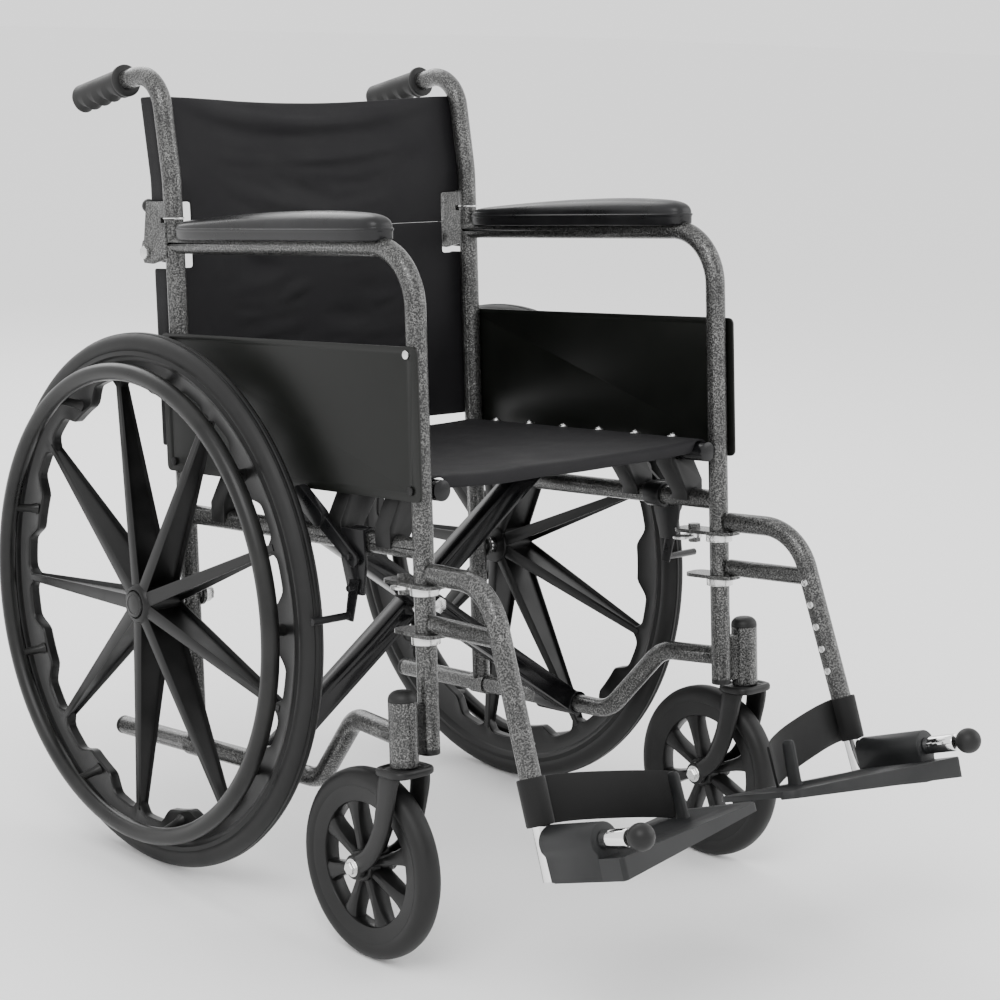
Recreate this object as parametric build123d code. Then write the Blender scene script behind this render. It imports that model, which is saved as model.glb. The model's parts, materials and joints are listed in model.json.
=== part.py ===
from build123d import *
import os
from math import atan, atan2, cos, degrees, pi, radians, sin, sqrt, tan

# Folding steel wheelchair. Millimetres, +Z up, the chair faces -Y and the sitter's left is +X.
# The frame is drawn upright, with the rear axle over the origin at wheel-radius height, and each
# frame piece is drawn for the left side. settle() leans the frame back to the way it stands on
# its casters and brings the middle of the whole chair over the origin.

# ---- driving dimensions ------------------------------------------------------------------------
FRAME_TILT = 5.0            # degrees that the frame leans back when all four wheels stand
REAR_R = 305.0              # rear wheel radius over the tyre
CASTER_R = 101.5            # caster wheel radius over the tyre
TUBE_R = 11.0               # outside radius of the frame tube
WALL = 1.5                  # wall of every steel tube
HALF_FRAME = 220.0          # centre plane to the side frame's tubes
POST_Y = -417.0             # front post, ahead of the rear post at Y 0
ARM_Z = 706.0               # arm tube centre line
UPPER_Z = 400.0             # upper side rail centre line
LOWER_Z = 128.5             # lower side rail centre line
SEAT_RAIL_Z = 458.0         # seat rail centre line when the chair is open
HINGE_Z = 734.0             # where the back cane leaves the rear post
BACK_TOP_Z = HINGE_Z + 137.0  # top edge of the back cloth
CLOTH = 3.0                 # thickness of seat and back cloth
CLEAR = 0.3                 # gap beside a moving or soft piece
RUN = 0.05                  # radial clearance of a shaft in its hole

# ---- helpers -----------------------------------------------------------------------------------


def rod(start, end, radius, bore=0.0):
    """Straight round bar from start to end, bored through when bore is given."""
    run = Vector(*end) - Vector(*start)
    section = Circle(radius) - Circle(bore) if bore else Circle(radius)
    return extrude(Plane(origin=start, z_dir=run) * section, run.length)


def box(x, y, z):
    """Box between two X, two Y and two Z values."""
    middle = [(low + high) / 2 for low, high in (x, y, z)]
    return Pos(*middle) * Box(*[abs(high - low) for low, high in (x, y, z)])


def centre_line(points, bends):
    """Straight runs through the points, joined by a tangent arc at each inner point."""
    points = [Vector(*p) for p in points]
    edges = []
    here = points[0]
    for index, bend in enumerate(bends, start=1):
        corner = points[index]
        back = (points[index - 1] - corner).normalized()
        on = (points[index + 1] - corner).normalized()
        half = radians(back.get_angle(on) / 2)
        inward = (back + on).normalized()
        start = corner + back * (bend / tan(half))
        end = corner + on * (bend / tan(half))
        middle = corner + inward * (bend / sin(half) - bend)
        edges += [Line(here, start), ThreePointArc(start, middle, end)]
        here = end
    edges.append(Line(here, points[-1]))
    return Wire(edges)


def tube(points, bends, radius=TUBE_R, wall=WALL):
    """Bent round tube; a wall of 0 makes a solid bar."""
    path = centre_line(points, bends)
    section = Circle(radius) - Circle(radius - wall) if wall else Circle(radius)
    start = Plane(origin=points[0], z_dir=path.tangent_at(0))
    return sweep(start * section, path=path)


def plate_x(outline, x0, x1):
    """Flat plate from an outline in Y and Z, between two X values."""
    face = make_face(Polyline(*[(0, y, z) for y, z in outline], close=True))
    return Pos(min(x0, x1), 0, 0) * extrude(face, abs(x1 - x0), dir=(1, 0, 0))


def hexagon(start, end, across):
    """Hexagonal bar, for a nut or a bolt head."""
    run = Vector(*end) - Vector(*start)
    section = RegularPolygon(across / 2, 6, major_radius=False)
    return extrude(Plane(origin=start, z_dir=run) * section, run.length)


def bolt(start, end, radius, across, head, nut=True):
    """Bolt with its head outside start and, if asked, a nut outside end."""
    axis = (Vector(*end) - Vector(*start)).normalized()
    start, end = Vector(*start), Vector(*end)
    piece = rod(start, end + axis * head, radius)
    piece += hexagon(start - axis * head, start, across)
    if nut:
        piece += hexagon(end, end + axis * head * 0.9, across)
    return piece


# ---- stance and output -------------------------------------------------------------------------
TOE_OUT = 4.5               # degrees that each footrest turns outward about its post
PIN_TILT = 14.0             # degrees that the footplate pin rises toward the front
FOOT_Y = -603.1             # where the foot tube meets the footplate pin
FOOT_Z = 133.0
BALL_AT = 148.0             # ball knob centre, along the pin from the foot tube
BALL_R = 13.5

TILT_SIN = sin(radians(FRAME_TILT))
TILT_COS = cos(radians(FRAME_TILT))


def leaned(y, z):
    """Y and Z of a frame point once the frame leans back about the rear axle."""
    return (y * TILT_COS + (z - REAR_R) * TILT_SIN, REAR_R - y * TILT_SIN + (z - REAR_R) * TILT_COS)


PIN_Y = -cos(radians(PIN_TILT))
PIN_Z = sin(radians(PIN_TILT))
BALL_REACH = FOOT_Y + BALL_AT * PIN_Y - POST_Y
FRONT_END = leaned(POST_Y + BALL_REACH * cos(radians(TOE_OUT)), FOOT_Z + BALL_AT * PIN_Z)[0] - BALL_R
SHIFT_Y = -(FRONT_END + REAR_R) / 2
AXLE_LINE = Axis((0, 0, REAR_R), (1, 0, 0))


def settle(solid):
    """Lean a frame piece back on its wheels and centre the chair on the origin."""
    return Pos(0, SHIFT_Y, 0) * solid.rotate(AXLE_LINE, -FRAME_TILT)


def save(name, *shapes, upright=False):
    """Write one named piece, as one solid or as a group of separate solids."""
    solids = [solid for shape in shapes for solid in shape.solids()]
    placed = [Pos(0, SHIFT_Y, 0) * solid if upright else settle(solid) for solid in solids]
    export_step(placed[0] if len(placed) == 1 else Compound(children=placed), f"parts/{name}.step")


def save_pair(name, *shapes, upright=False):
    """Write a left piece and its mirror image on the right."""
    save(f"{name}_left", *shapes, upright=upright)
    mirrored = [solid.mirror(Plane.YZ) for shape in shapes for solid in shape.solids()]
    save(f"{name}_right", *mirrored, upright=upright)


def toed(shape):
    """Turn a left footrest piece outward about the front post."""
    return shape.rotate(Axis((HALF_FRAME, POST_Y, 0), (0, 0, 1)), TOE_OUT)


os.makedirs("parts", exist_ok=True)
X = HALF_FRAME

# ---- caster height sets the front of the frame ---------------------------------------------------
TRAIL = 59.0                # caster axle behind its swivel stem
STEM_OUT = 36.5             # swivel stem outboard of the front post
STEM_AHEAD = 3.0            # swivel stem ahead of the front post
HOUSING_R = 15.0
HOUSING_BORE = 11.0
HOUSING_H = 67.0
STEM_R = 6.0
FORK_GAP = 2.5              # tyre to the underside of the fork crown
CROWN_T = 8.0
THRUST = 1.4                # thrust washer between fork crown and housing

STEM_X = X + STEM_OUT
STEM_Y = POST_Y - STEM_AHEAD
CASTER_Y = STEM_Y + TRAIL
CASTER_Z = REAR_R + (CASTER_R - REAR_R + CASTER_Y * TILT_SIN) / TILT_COS
CROWN_Z = CASTER_Z + CASTER_R + FORK_GAP
HOUSING_Z = CROWN_Z + CROWN_T + THRUST
HOUSING_TOP = HOUSING_Z + HOUSING_H
PLUG = 6.0                  # how far a tube's end plug stands out
POST_END = HOUSING_Z + 5 + PLUG

# ---- side frame tubes ----------------------------------------------------------------------------
ARM_BEND = 62.0
AXLE_R = 6.35
STUB_Y = 149.0              # rear end of the lower rail, behind the axle
RAIL_DIP_Y = -232.0         # where the lower rail turns up toward the caster
RAIL_RISE = (12.0, -80.0)   # outboard and forward run of that rising piece
RAIL_FRONT_Z = HOUSING_Z + 29
COLLAR_HALF = 13.0          # weld collar on the lower rail, under the rear post
COLLAR_T = 2.0
SCREW_R = 2.1
SKIRT_T = 2.5
SKIRT_Z = (450.0, 606.5)
SKIRT_Y = (POST_Y - 15.0, 15.0)
SKIRT_SCREWS = [(y, z) for y in (POST_Y, 0.0) for z in (SKIRT_Z[0] + 11, SKIRT_Z[1] - 8)]

front_post = rod((X, POST_Y, 0), (X, POST_Y, ARM_Z - ARM_BEND), TUBE_R)
rear_post_bar = rod((X, 0, 0), (X, 0, HINGE_Z), TUBE_R)
housing_bar = rod((STEM_X, STEM_Y, HOUSING_Z), (STEM_X, STEM_Y, HOUSING_TOP), HOUSING_R)
screw_holes = [rod((X, y, z), (X + TUBE_R + SKIRT_T + 1, y, z), SCREW_R) for y, z in SKIRT_SCREWS]

arm_tube = tube([(X, 0, ARM_Z), (X, POST_Y, ARM_Z), (X, POST_Y, POST_END)], [ARM_BEND])
arm_tube -= rear_post_bar
upper_rail = rod((X, 0, UPPER_Z), (X, POST_Y, UPPER_Z), TUBE_R, TUBE_R - WALL)
upper_rail -= rear_post_bar + front_post
rail_bend = (X + RAIL_RISE[0], RAIL_DIP_Y + RAIL_RISE[1], RAIL_FRONT_Z)
lower_points = [(X, STUB_Y, LOWER_Z), (X, RAIL_DIP_Y, LOWER_Z), rail_bend, (STEM_X, STEM_Y, RAIL_FRONT_Z)]
lower_rail = tube(lower_points, [44.0, 38.0]) - housing_bar
collar_ends = [(X, -COLLAR_HALF, LOWER_Z), (X, COLLAR_HALF, LOWER_Z)]
lower_rail += rod(*collar_ends, TUBE_R + COLLAR_T, TUBE_R - WALL / 2)
lower_bar = tube(lower_points, [44.0, 38.0], wall=0)

# The rear post carries the axle and the two ears of the folding back's hinge.
BACK_PIVOT = (38.0, HINGE_Z - 37.0)
PIVOT_R = 4.0
EAR_IN = TUBE_R - 1.5       # inner faces of the two ears
EAR_OUT = TUBE_R + 1.5
ear_outline = [(0, HINGE_Z - 4), (16, HINGE_Z - 4), (46, BACK_PIVOT[1] + 12), (50, BACK_PIVOT[1])]
ear_outline += [(44, BACK_PIVOT[1] - 12), (28, BACK_PIVOT[1] - 13), (0, HINGE_Z - 44)]
rear_post = rod((X, 0, LOWER_Z), (X, 0, HINGE_Z - 0.5), TUBE_R, TUBE_R - WALL) - lower_bar
rear_post -= rod(*collar_ends, TUBE_R + COLLAR_T)
for side in (-1, 1):
    ear = plate_x(ear_outline, X + side * EAR_IN, X + side * EAR_OUT)
    rear_post += ear - rod((X, 0, LOWER_Z), (X, 0, HINGE_Z), TUBE_R - WALL)
    rear_post += rod((X + side * (TUBE_R - 1), 0, REAR_R), (X + side * (TUBE_R + 3), 0, REAR_R), 13.0)
rear_post -= rod((X - 30, 0, REAR_R), (X + 30, 0, REAR_R), AXLE_R)
rear_post -= rod((X - 30, *BACK_PIVOT), (X + 30, *BACK_PIVOT), PIVOT_R)
for hole in screw_holes:
    arm_tube -= hole
    rear_post -= hole
save_pair("arm_tube", arm_tube)
save_pair("rear_post", rear_post)
save_pair("side_rails", upper_rail, lower_rail)

# ---- caster housing ------------------------------------------------------------------------------
housing = rod((STEM_X, STEM_Y, HOUSING_Z), (STEM_X, STEM_Y, HOUSING_TOP), HOUSING_R, HOUSING_BORE)
weld_plate = box((X, STEM_X), (POST_Y - 6, POST_Y + 4), (HOUSING_Z + 8, HOUSING_TOP - 8))
weld_plate -= front_post + housing_bar
save_pair("caster_housing", housing + weld_plate)

# ---- arm pad and skirt guard ---------------------------------------------------------------------
PAD_Y = (POST_Y + 32.0, -TUBE_R - 0.5)
PAD_HALF = 26.0
PAD_TOP = ARM_Z + 32.0
PAD_BASE = ARM_Z + 5.0
pad_middle = (PAD_Y[0] + PAD_Y[1]) / 2
pad_plan = Pos(X, pad_middle, PAD_BASE) * RectangleRounded(2 * PAD_HALF, PAD_Y[1] - PAD_Y[0], 20)
arm_pad = extrude(pad_plan, PAD_TOP - PAD_BASE)
arm_pad = fillet(arm_pad.faces().sort_by(Axis.Z)[-1].edges(), 11)
arm_pad = fillet(arm_pad.faces().sort_by(Axis.Z)[0].edges(), 3)
arm_pad -= rod((X, POST_Y, ARM_Z), (X, 20, ARM_Z), TUBE_R)
arm_pad -= tube([(X, 0, ARM_Z), (X, POST_Y, ARM_Z), (X, POST_Y, POST_END)], [ARM_BEND], wall=0)
save_pair("arm_pad", arm_pad)

skirt = box((X + TUBE_R, X + TUBE_R + SKIRT_T), SKIRT_Y, SKIRT_Z)
skirt = fillet(skirt.edges().filter_by(Axis.X), 7)
for hole in screw_holes:
    skirt -= hole
save_pair("skirt_guard", skirt)

# ---- scissor cross brace and seat rails ------------------------------------------------------------
# Each bar is welded to a sleeve that turns on one lower rail and to the seat rail above the other
# side. The bars cross at one bolt, so the frame folds as a scissor. The bar, the sleeve and the rail
# meet face to face at their welds.
BRACE_Y = -147.0            # plane between the two bars
BAR = 25.0                  # square bar, each side
BAR_GAP = 7.0               # spacer between the bars
BAR_DROP = 40.3             # bar's upper end below the seat rail's centre line
BAR_INSET = 4.0             # bar's upper end inboard of the seat rail
SLEEVE_R = TUBE_R + RUN
SLEEVE_OUT = TUBE_R + 3.5
SLEEVE_HALF = 32.0
SEAT_RAIL_X = HALF_FRAME - 2 * TUBE_R - 1.0
SEAT_RAIL_Y = (POST_Y - 3.0, -28.0)
CROSS_R = 5.0

BAR_RISE = (SEAT_RAIL_Z - BAR_DROP - LOWER_Z) / (X + SEAT_RAIL_X - BAR_INSET)
CROSS_Z = LOWER_Z + X * BAR_RISE


def brace(side, offset):
    """Bar from the lower rail on one side to the seat rail on the other, in its own Y plane."""
    y = BRACE_Y + offset
    low_x, rail_x = side * X, -side * SEAT_RAIL_X
    top_x = rail_x + side * BAR_INSET
    top_z = SEAT_RAIL_Z - BAR_DROP
    slope = Vector(top_x - low_x, 0, top_z - LOWER_Z)
    start = Plane(origin=(low_x, y, LOWER_Z), x_dir=(0, 1, 0), z_dir=slope)
    bar = extrude(start * Rectangle(BAR, BAR), slope.length)
    bar -= extrude(start * Rectangle(BAR - 4, BAR - 4), slope.length - 2)
    ends = [(low_x, BRACE_Y + step, LOWER_Z) for step in (-SLEEVE_HALF, SLEEVE_HALF)]
    bar -= rod(*ends, SLEEVE_OUT)
    sleeve = rod(*ends, SLEEVE_OUT, SLEEVE_R)
    rail_ends = [(rail_x, end, SEAT_RAIL_Z) for end in SEAT_RAIL_Y]
    rail = rod(*rail_ends, TUBE_R, TUBE_R - WALL)
    gusset_outline = [(top_x, y, top_z - BAR / 2), (top_x + side * 30, y, top_z - BAR / 2 - 10),
                      (rail_x + side * 10, y, SEAT_RAIL_Z - 6), (rail_x - side * 7, y, SEAT_RAIL_Z - 8),
                      (rail_x - side * 7, y, top_z - 4)]
    gusset = extrude(make_face(Polyline(*gusset_outline, close=True)), BAR / 2, both=True, dir=(0, 1, 0))
    gusset -= rod(*rail_ends, TUBE_R)
    bar += gusset
    bar -= rod((0, y - BAR, CROSS_Z), (0, y + BAR, CROSS_Z), CROSS_R + RUN)
    plug_ends = [(rail_x, end[1] + step, SEAT_RAIL_Z) for end, step in zip(rail_ends, (-3.0, 3.0))]
    plugs = [rod(end, plug_end, TUBE_R) for end, plug_end in zip(rail_ends, plug_ends)]
    return [bar, sleeve, rail, *plugs]


BAR_OFFSET = (BAR + BAR_GAP) / 2
save("brace_from_left", *brace(1, -BAR_OFFSET))
save("brace_from_right", *brace(-1, BAR_OFFSET))
bolt_reach = BAR_OFFSET + BAR / 2 + 0.2
bolt_ends = [(0, BRACE_Y + step, CROSS_Z) for step in (-bolt_reach, bolt_reach)]
cross_bolt = bolt(*bolt_ends, CROSS_R, 17.0, 7.0)
spacer_half = BAR_GAP / 2 - 0.2
spacer = rod((0, BRACE_Y - spacer_half, CROSS_Z), (0, BRACE_Y + spacer_half, CROSS_Z), 16.0, CROSS_R)
save("cross_bolt", cross_bolt + spacer)

# ---- centre line of the folding back canes ---------------------------------------------------------
CANE_LEAN = 8.0             # degrees that the back canes lean above their gentle bend
LEAN_Z = HINGE_Z + 44.0
HANDLE_DROP = 10.0          # degrees that the handle falls toward its end
CANE_BEND = 44.0
HANDLE_END = (173.0, HINGE_Z + 141.0)
GRIP_START_Y = 80.0
GRIP_R = 15.5
handle_slope = tan(radians(HANDLE_DROP))
corner_y = (HANDLE_END[1] - LEAN_Z + HANDLE_END[0] * handle_slope) * tan(radians(CANE_LEAN))
corner_y /= 1 + handle_slope * tan(radians(CANE_LEAN))
corner_z = HANDLE_END[1] + (HANDLE_END[0] - corner_y) * handle_slope
cane_points = [(X, 0, HINGE_Z + 0.5), (X, 0, LEAN_Z), (X, corner_y, corner_z), (X, *HANDLE_END)]
CANE_BENDS = [180.0, CANE_BEND]
cane = tube(cane_points, CANE_BENDS)

# ---- seat and back cloth, as plain solids ----------------------------------------------------------
SEAT_Y = (SEAT_RAIL_Y[0] + 8.0, SEAT_RAIL_Y[1] + 6.0)
seat_low = SEAT_RAIL_Z + TUBE_R + CLEAR
seat = box((-SEAT_RAIL_X - 8, SEAT_RAIL_X + 8), SEAT_Y, (seat_low, seat_low + CLOTH))
hem_half = SEAT_RAIL_X - TUBE_R - 8
seat += box((-hem_half, hem_half), (SEAT_Y[0], SEAT_Y[0] + 16), (seat_low - 9, seat_low + CLOTH))
save("seat_cloth", seat)

BACK_SPLIT_Z = HINGE_Z - 17.0
NOTCH_Z = (HINGE_Z - 57.0, HINGE_Z + 24.0)
NOTCH_X = HALF_FRAME - 36.0
BACK_Y = TUBE_R + CLEAR
FLAP_Y = BACK_Y + 26.0
back_half = X + 4.0
lean_y = (BACK_TOP_Z - LEAN_Z) * tan(radians(CANE_LEAN))
notch = [box((side * NOTCH_X, side * (back_half + 1)), (0, FLAP_Y + 40), NOTCH_Z) for side in (-1, 1)]
lower_back = box((-back_half, back_half), (BACK_Y, BACK_Y + CLOTH), (seat_low + 6, BACK_SPLIT_Z))
for side in (-1, 1):
    lower_back += box((side * X, side * back_half), (BACK_Y, FLAP_Y), (seat_low + 6, NOTCH_Z[0]))
lower_back -= notch[0] + notch[1]
upper_outline = [(BACK_Y, BACK_SPLIT_Z + CLEAR), (BACK_Y + CLOTH, BACK_SPLIT_Z + CLEAR),
                 (BACK_Y + CLOTH, LEAN_Z - 2), (BACK_Y + CLOTH + lean_y, BACK_TOP_Z),
                 (BACK_Y + lean_y, BACK_TOP_Z), (BACK_Y, LEAN_Z - 2)]
flap_outline = [(BACK_Y, NOTCH_Z[1]), (FLAP_Y, NOTCH_Z[1]), (FLAP_Y, LEAN_Z), (FLAP_Y + lean_y, BACK_TOP_Z),
                (BACK_Y + lean_y, BACK_TOP_Z), (BACK_Y, LEAN_Z - 2)]
upper_back = plate_x(upper_outline, -back_half, back_half)
for side in (-1, 1):
    upper_back += plate_x(flap_outline, side * X, side * back_half)
upper_back -= notch[0] + notch[1]
cane_room = tube(cane_points, CANE_BENDS, TUBE_R + CLEAR, 0)
upper_back -= cane_room + cane_room.mirror(Plane.YZ)
save("back_cloth_lower", lower_back)
save("back_cloth_upper", upper_back)

# ---- folding back canes and grips ------------------------------------------------------------------
tongue_outline = [(0, HINGE_Z + 2), (0, HINGE_Z + 20), (40, HINGE_Z + 20), (49, BACK_PIVOT[1] + 8),
                  (50, BACK_PIVOT[1] - 5), (42, BACK_PIVOT[1] - 12), (32, BACK_PIVOT[1] - 11),
                  (TUBE_R + 1.5, HINGE_Z - 14), (TUBE_R + 1.5, HINGE_Z + 2)]
tongue = plate_x(tongue_outline, X - EAR_IN + CLEAR, X + EAR_IN - CLEAR)
tongue -= rod((X, 0, HINGE_Z - 10), (X, 0, HINGE_Z + 60), TUBE_R - WALL)
tongue -= rod((X - 30, *BACK_PIVOT), (X + 30, *BACK_PIVOT), PIVOT_R + RUN)
LATCH_PIVOT = (34.0, HINGE_Z + 6.0)
RELEASE_PIN_R = 2.5
slot = box((X - 4.5, X + 4.5), (LATCH_PIVOT[0] - 10, 60), (LATCH_PIVOT[1] - 13, LATCH_PIVOT[1] + 60))
cane += tongue - slot
cane += rod((X - EAR_IN, *LATCH_PIVOT), (X + EAR_IN, *LATCH_PIVOT), RELEASE_PIN_R)
save_pair("back_cane", cane)

grip_start = (X, GRIP_START_Y, HANDLE_END[1] + (HANDLE_END[0] - GRIP_START_Y) * handle_slope)
grip_dir = (Vector(X, *HANDLE_END) - Vector(*grip_start)).normalized()
grip_end = Vector(X, *HANDLE_END) + grip_dir * 4
grip = rod(grip_start, grip_end, GRIP_R)
grip += rod(grip_start, Vector(*grip_start) + grip_dir * 6, GRIP_R + 3)
grip -= rod(Vector(*grip_start) - grip_dir * 2, (X, *HANDLE_END), TUBE_R)
for index in range(4):
    notch_at = Vector(*grip_start) + grip_dir * (24 + 21 * index) + Vector(0, 0, -GRIP_R - 6)
    grip -= rod(notch_at - Vector(30, 0, 0), notch_at + Vector(30, 0, 0), 9)
save_pair("hand_grip", grip)

# Spring lever behind each cane that lets the back fold.
lever_outline = [(LATCH_PIVOT[0] - 6, LATCH_PIVOT[1] - 6), (LATCH_PIVOT[0] - 6, LATCH_PIVOT[1] + 8),
                 (LATCH_PIVOT[0] + 2, LATCH_PIVOT[1] + 14), (LATCH_PIVOT[0] + 12, LATCH_PIVOT[1] + 12),
                 (LATCH_PIVOT[0] + 12, LATCH_PIVOT[1] + 6), (LATCH_PIVOT[0] + 6, LATCH_PIVOT[1] - 6)]
release = plate_x(lever_outline, X - 3, X + 3)
release -= rod((X - 30, *LATCH_PIVOT), (X + 30, *LATCH_PIVOT), RELEASE_PIN_R + RUN)
release += Pos(X, LATCH_PIVOT[0] + 14, LATCH_PIVOT[1] + 9) * Sphere(8)
save_pair("back_release", release)

# ---- wheel lock --------------------------------------------------------------------------------------
LOCK_Y = -322.0
LOCK_X = (X + TUBE_R + 1.0, X + TUBE_R + 5.0)
LEVER_PIVOT = (-326.0, 386.0)
SHOE_PIVOT = (-326.0, 353.0)
SHOE_ROD = 4.0
SHOE_GAP = 6.0
LEVER_X = (X + TUBE_R + 8.5, X + TUBE_R + 12.5)
LEVER_TIP = (-243.0, 447.0)
shoe_z = REAR_R + 17.0
shoe_y = -sqrt((REAR_R + SHOE_ROD + SHOE_GAP) ** 2 - (shoe_z - REAR_R) ** 2)
TYRE_X = X + 51.5           # tyre centre plane
TYRE_HALF = 12.5
lock_outline = [(LOCK_Y - 18, UPPER_Z + 14), (LOCK_Y + 18, UPPER_Z + 14), (LOCK_Y + 20, UPPER_Z - 20),
                (LOCK_Y + 10, SHOE_PIVOT[1] - 8), (LOCK_Y - 14, SHOE_PIVOT[1] - 8),
                (LOCK_Y - 20, UPPER_Z - 20)]
lock_base = plate_x(lock_outline, *LOCK_X)
lock_base += rod((X, LOCK_Y - 12, UPPER_Z), (X, LOCK_Y + 12, UPPER_Z), TUBE_R + 4)
lock_base -= rod((X, LOCK_Y - 40, UPPER_Z), (X, LOCK_Y + 40, UPPER_Z), TUBE_R)
for pivot in (LEVER_PIVOT, SHOE_PIVOT):
    lock_base += rod((LOCK_X[0], *pivot), (LEVER_X[1] + 4, *pivot), 3.5)
save_pair("lock_base", lock_base)

lever_run = Vector(0, LEVER_TIP[0] - LEVER_PIVOT[0], LEVER_TIP[1] - LEVER_PIVOT[1])
lever_plane = Plane(origin=(LEVER_X[0], *LEVER_PIVOT), x_dir=lever_run, z_dir=(1, 0, 0))
lever_face = lever_plane * (Pos(lever_run.length / 2 - 6, 0) * RectangleRounded(lever_run.length + 12, 15, 6))
lever = extrude(lever_face, LEVER_X[1] - LEVER_X[0])
lever -= rod((LEVER_X[0] - 1, *LEVER_PIVOT), (LEVER_X[1] + 1, *LEVER_PIVOT), 3.5 + RUN)
lever_mid_x = (LEVER_X[0] + LEVER_X[1]) / 2
grip_face = Plane(origin=(lever_mid_x, *LEVER_PIVOT), x_dir=lever_run, z_dir=(1, 0, 0))
grip_face = grip_face * (Pos(lever_run.length - 22, 0) * RectangleRounded(56, 20, 9))
lever += extrude(grip_face, 5.2, both=True)
save_pair("lock_lever", lever)

shoe_link_x = (LOCK_X[1] + 0.6, LEVER_X[0] - 0.6)
shoe_outline = [(SHOE_PIVOT[0] - 8, SHOE_PIVOT[1] + 8), (SHOE_PIVOT[0] + 8, SHOE_PIVOT[1] + 8),
                (shoe_y + 6, shoe_z - 5), (shoe_y - 6, shoe_z - 6)]
shoe = plate_x(shoe_outline, *shoe_link_x)
shoe += rod((shoe_link_x[0], shoe_y, shoe_z), (TYRE_X + TYRE_HALF + 3, shoe_y, shoe_z), SHOE_ROD)
shoe -= rod((shoe_link_x[0] - 1, *SHOE_PIVOT), (shoe_link_x[1] + 1, *SHOE_PIVOT), 3.5 + RUN)
save_pair("lock_shoe", shoe)

# ---- rear wheel, tyre and handrim ------------------------------------------------------------------
SPOKES = 9
SPOKE_PHASE = 24.8          # first spoke above the forward direction
RIM_R = REAR_R - 20.0       # rim under the tyre
WEB_R = RIM_R - 29.0        # inner edge of the rim's web between the lobes
WEB_HALF = 6.0
HUB_X = (X + TUBE_R + 14.0, TYRE_X + 26.0)
HUB_R = 24.0
SPOKE_T = 8.0
HANDRIM_R = RIM_R - 21.5
HANDRIM_TUBE = 10.0
HANDRIM_X = TYRE_X + 32.0
rim_profile = [(RIM_R, -11), (RIM_R, 11), (RIM_R - 7, 11), (RIM_R - 11, WEB_HALF), (WEB_R, WEB_HALF),
               (WEB_R, -WEB_HALF), (RIM_R - 11, -WEB_HALF), (RIM_R - 7, -11)]
rim_face = make_face(Polyline(*[(TYRE_X + x, 0, REAR_R + r) for r, x in rim_profile], close=True))
rear_wheel = revolve(rim_face, AXLE_LINE)
rear_wheel += rod((HUB_X[0], 0, REAR_R), (HUB_X[1], 0, REAR_R), HUB_R)
spoke_outline = [(HUB_X[0] + 2, 0, REAR_R + 15), (HUB_X[1] - 4, 0, REAR_R + 15),
                 (TYRE_X + 7, 0, REAR_R + WEB_R + 6), (TYRE_X - 7, 0, REAR_R + WEB_R + 6)]
spoke_face = make_face(Polyline(*spoke_outline, close=True))
spoke = extrude(spoke_face, SPOKE_T / 2, both=True, dir=(0, 1, 0))
lobe = rod((TYRE_X - WEB_HALF, 0, REAR_R + WEB_R + 4), (TYRE_X + WEB_HALF, 0, REAR_R + WEB_R + 4), 18)
for index in range(SPOKES):
    turn = -90 + SPOKE_PHASE + index * 360 / SPOKES
    rear_wheel += spoke.rotate(AXLE_LINE, -turn)
    rear_wheel += lobe.rotate(AXLE_LINE, -turn - 180 / SPOKES)
rear_wheel -= rod((HUB_X[0] - 1, 0, REAR_R), (HUB_X[1] + 1, 0, REAR_R), AXLE_R + RUN)
rear_wheel -= rod((HUB_X[1] - 12, 0, REAR_R), (HUB_X[1] + 1, 0, REAR_R), 12.0)
save_pair("rear_wheel", rear_wheel, upright=True)

shoulder_z = 2 * REAR_R - TYRE_HALF
shoulders = [(TYRE_X - TYRE_HALF, 0, shoulder_z), (TYRE_X + TYRE_HALF, 0, shoulder_z)]
seat_edges = [(TYRE_X - 11, 0, REAR_R + RIM_R), (TYRE_X + 11, 0, REAR_R + RIM_R)]
tyre_sides = Polyline(shoulders[0], seat_edges[0], seat_edges[1], shoulders[1])
tyre_tread = ThreePointArc(shoulders[0], (TYRE_X, 0, 2 * REAR_R), shoulders[1])
tyre_face = make_face([*tyre_sides.edges(), tyre_tread])
save_pair("rear_tyre", revolve(tyre_face, AXLE_LINE), upright=True)

ring_plane = Plane(origin=(HANDRIM_X, 0, REAR_R + HANDRIM_R), x_dir=(1, 0, 0), z_dir=(0, 1, 0))
ring_face = ring_plane * Circle(HANDRIM_TUBE)
handrim = revolve(ring_face, AXLE_LINE)
peg = rod((TYRE_X + WEB_HALF, 0, REAR_R + WEB_R - 4), (HANDRIM_X - 4, 0, REAR_R + HANDRIM_R - 5), 5)
peg -= rod((TYRE_X, 0, REAR_R + WEB_R - 4), (TYRE_X + WEB_HALF, 0, REAR_R + WEB_R - 4), 12)
for index in range(SPOKES):
    turn = -90 + SPOKE_PHASE + index * 360 / SPOKES
    handrim += peg.rotate(AXLE_LINE, -turn - 180 / SPOKES)
save_pair("handrim", handrim, upright=True)

# ---- caster fork, wheel and tyre -------------------------------------------------------------------
CASTER_HALF = 14.0          # half width of the caster tyre
CASTER_RIM_R = CASTER_R - 18.5
CASTER_RIM_IN = CASTER_RIM_R - 17.0
CASTER_SPOKES = 8
CASTER_HUB_R = 17.0
CASTER_AXLE_R = 4.0
LEG_X = (CASTER_HALF + 4.5, CASTER_HALF + 11.5)
caster_axis = Axis((STEM_X, CASTER_Y, CASTER_Z), (1, 0, 0))


def caster_point(out, up=0.0):
    """Point on the caster axle, outboard of the wheel's centre plane and above the axle."""
    return (STEM_X + out, CASTER_Y, CASTER_Z + up)


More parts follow.
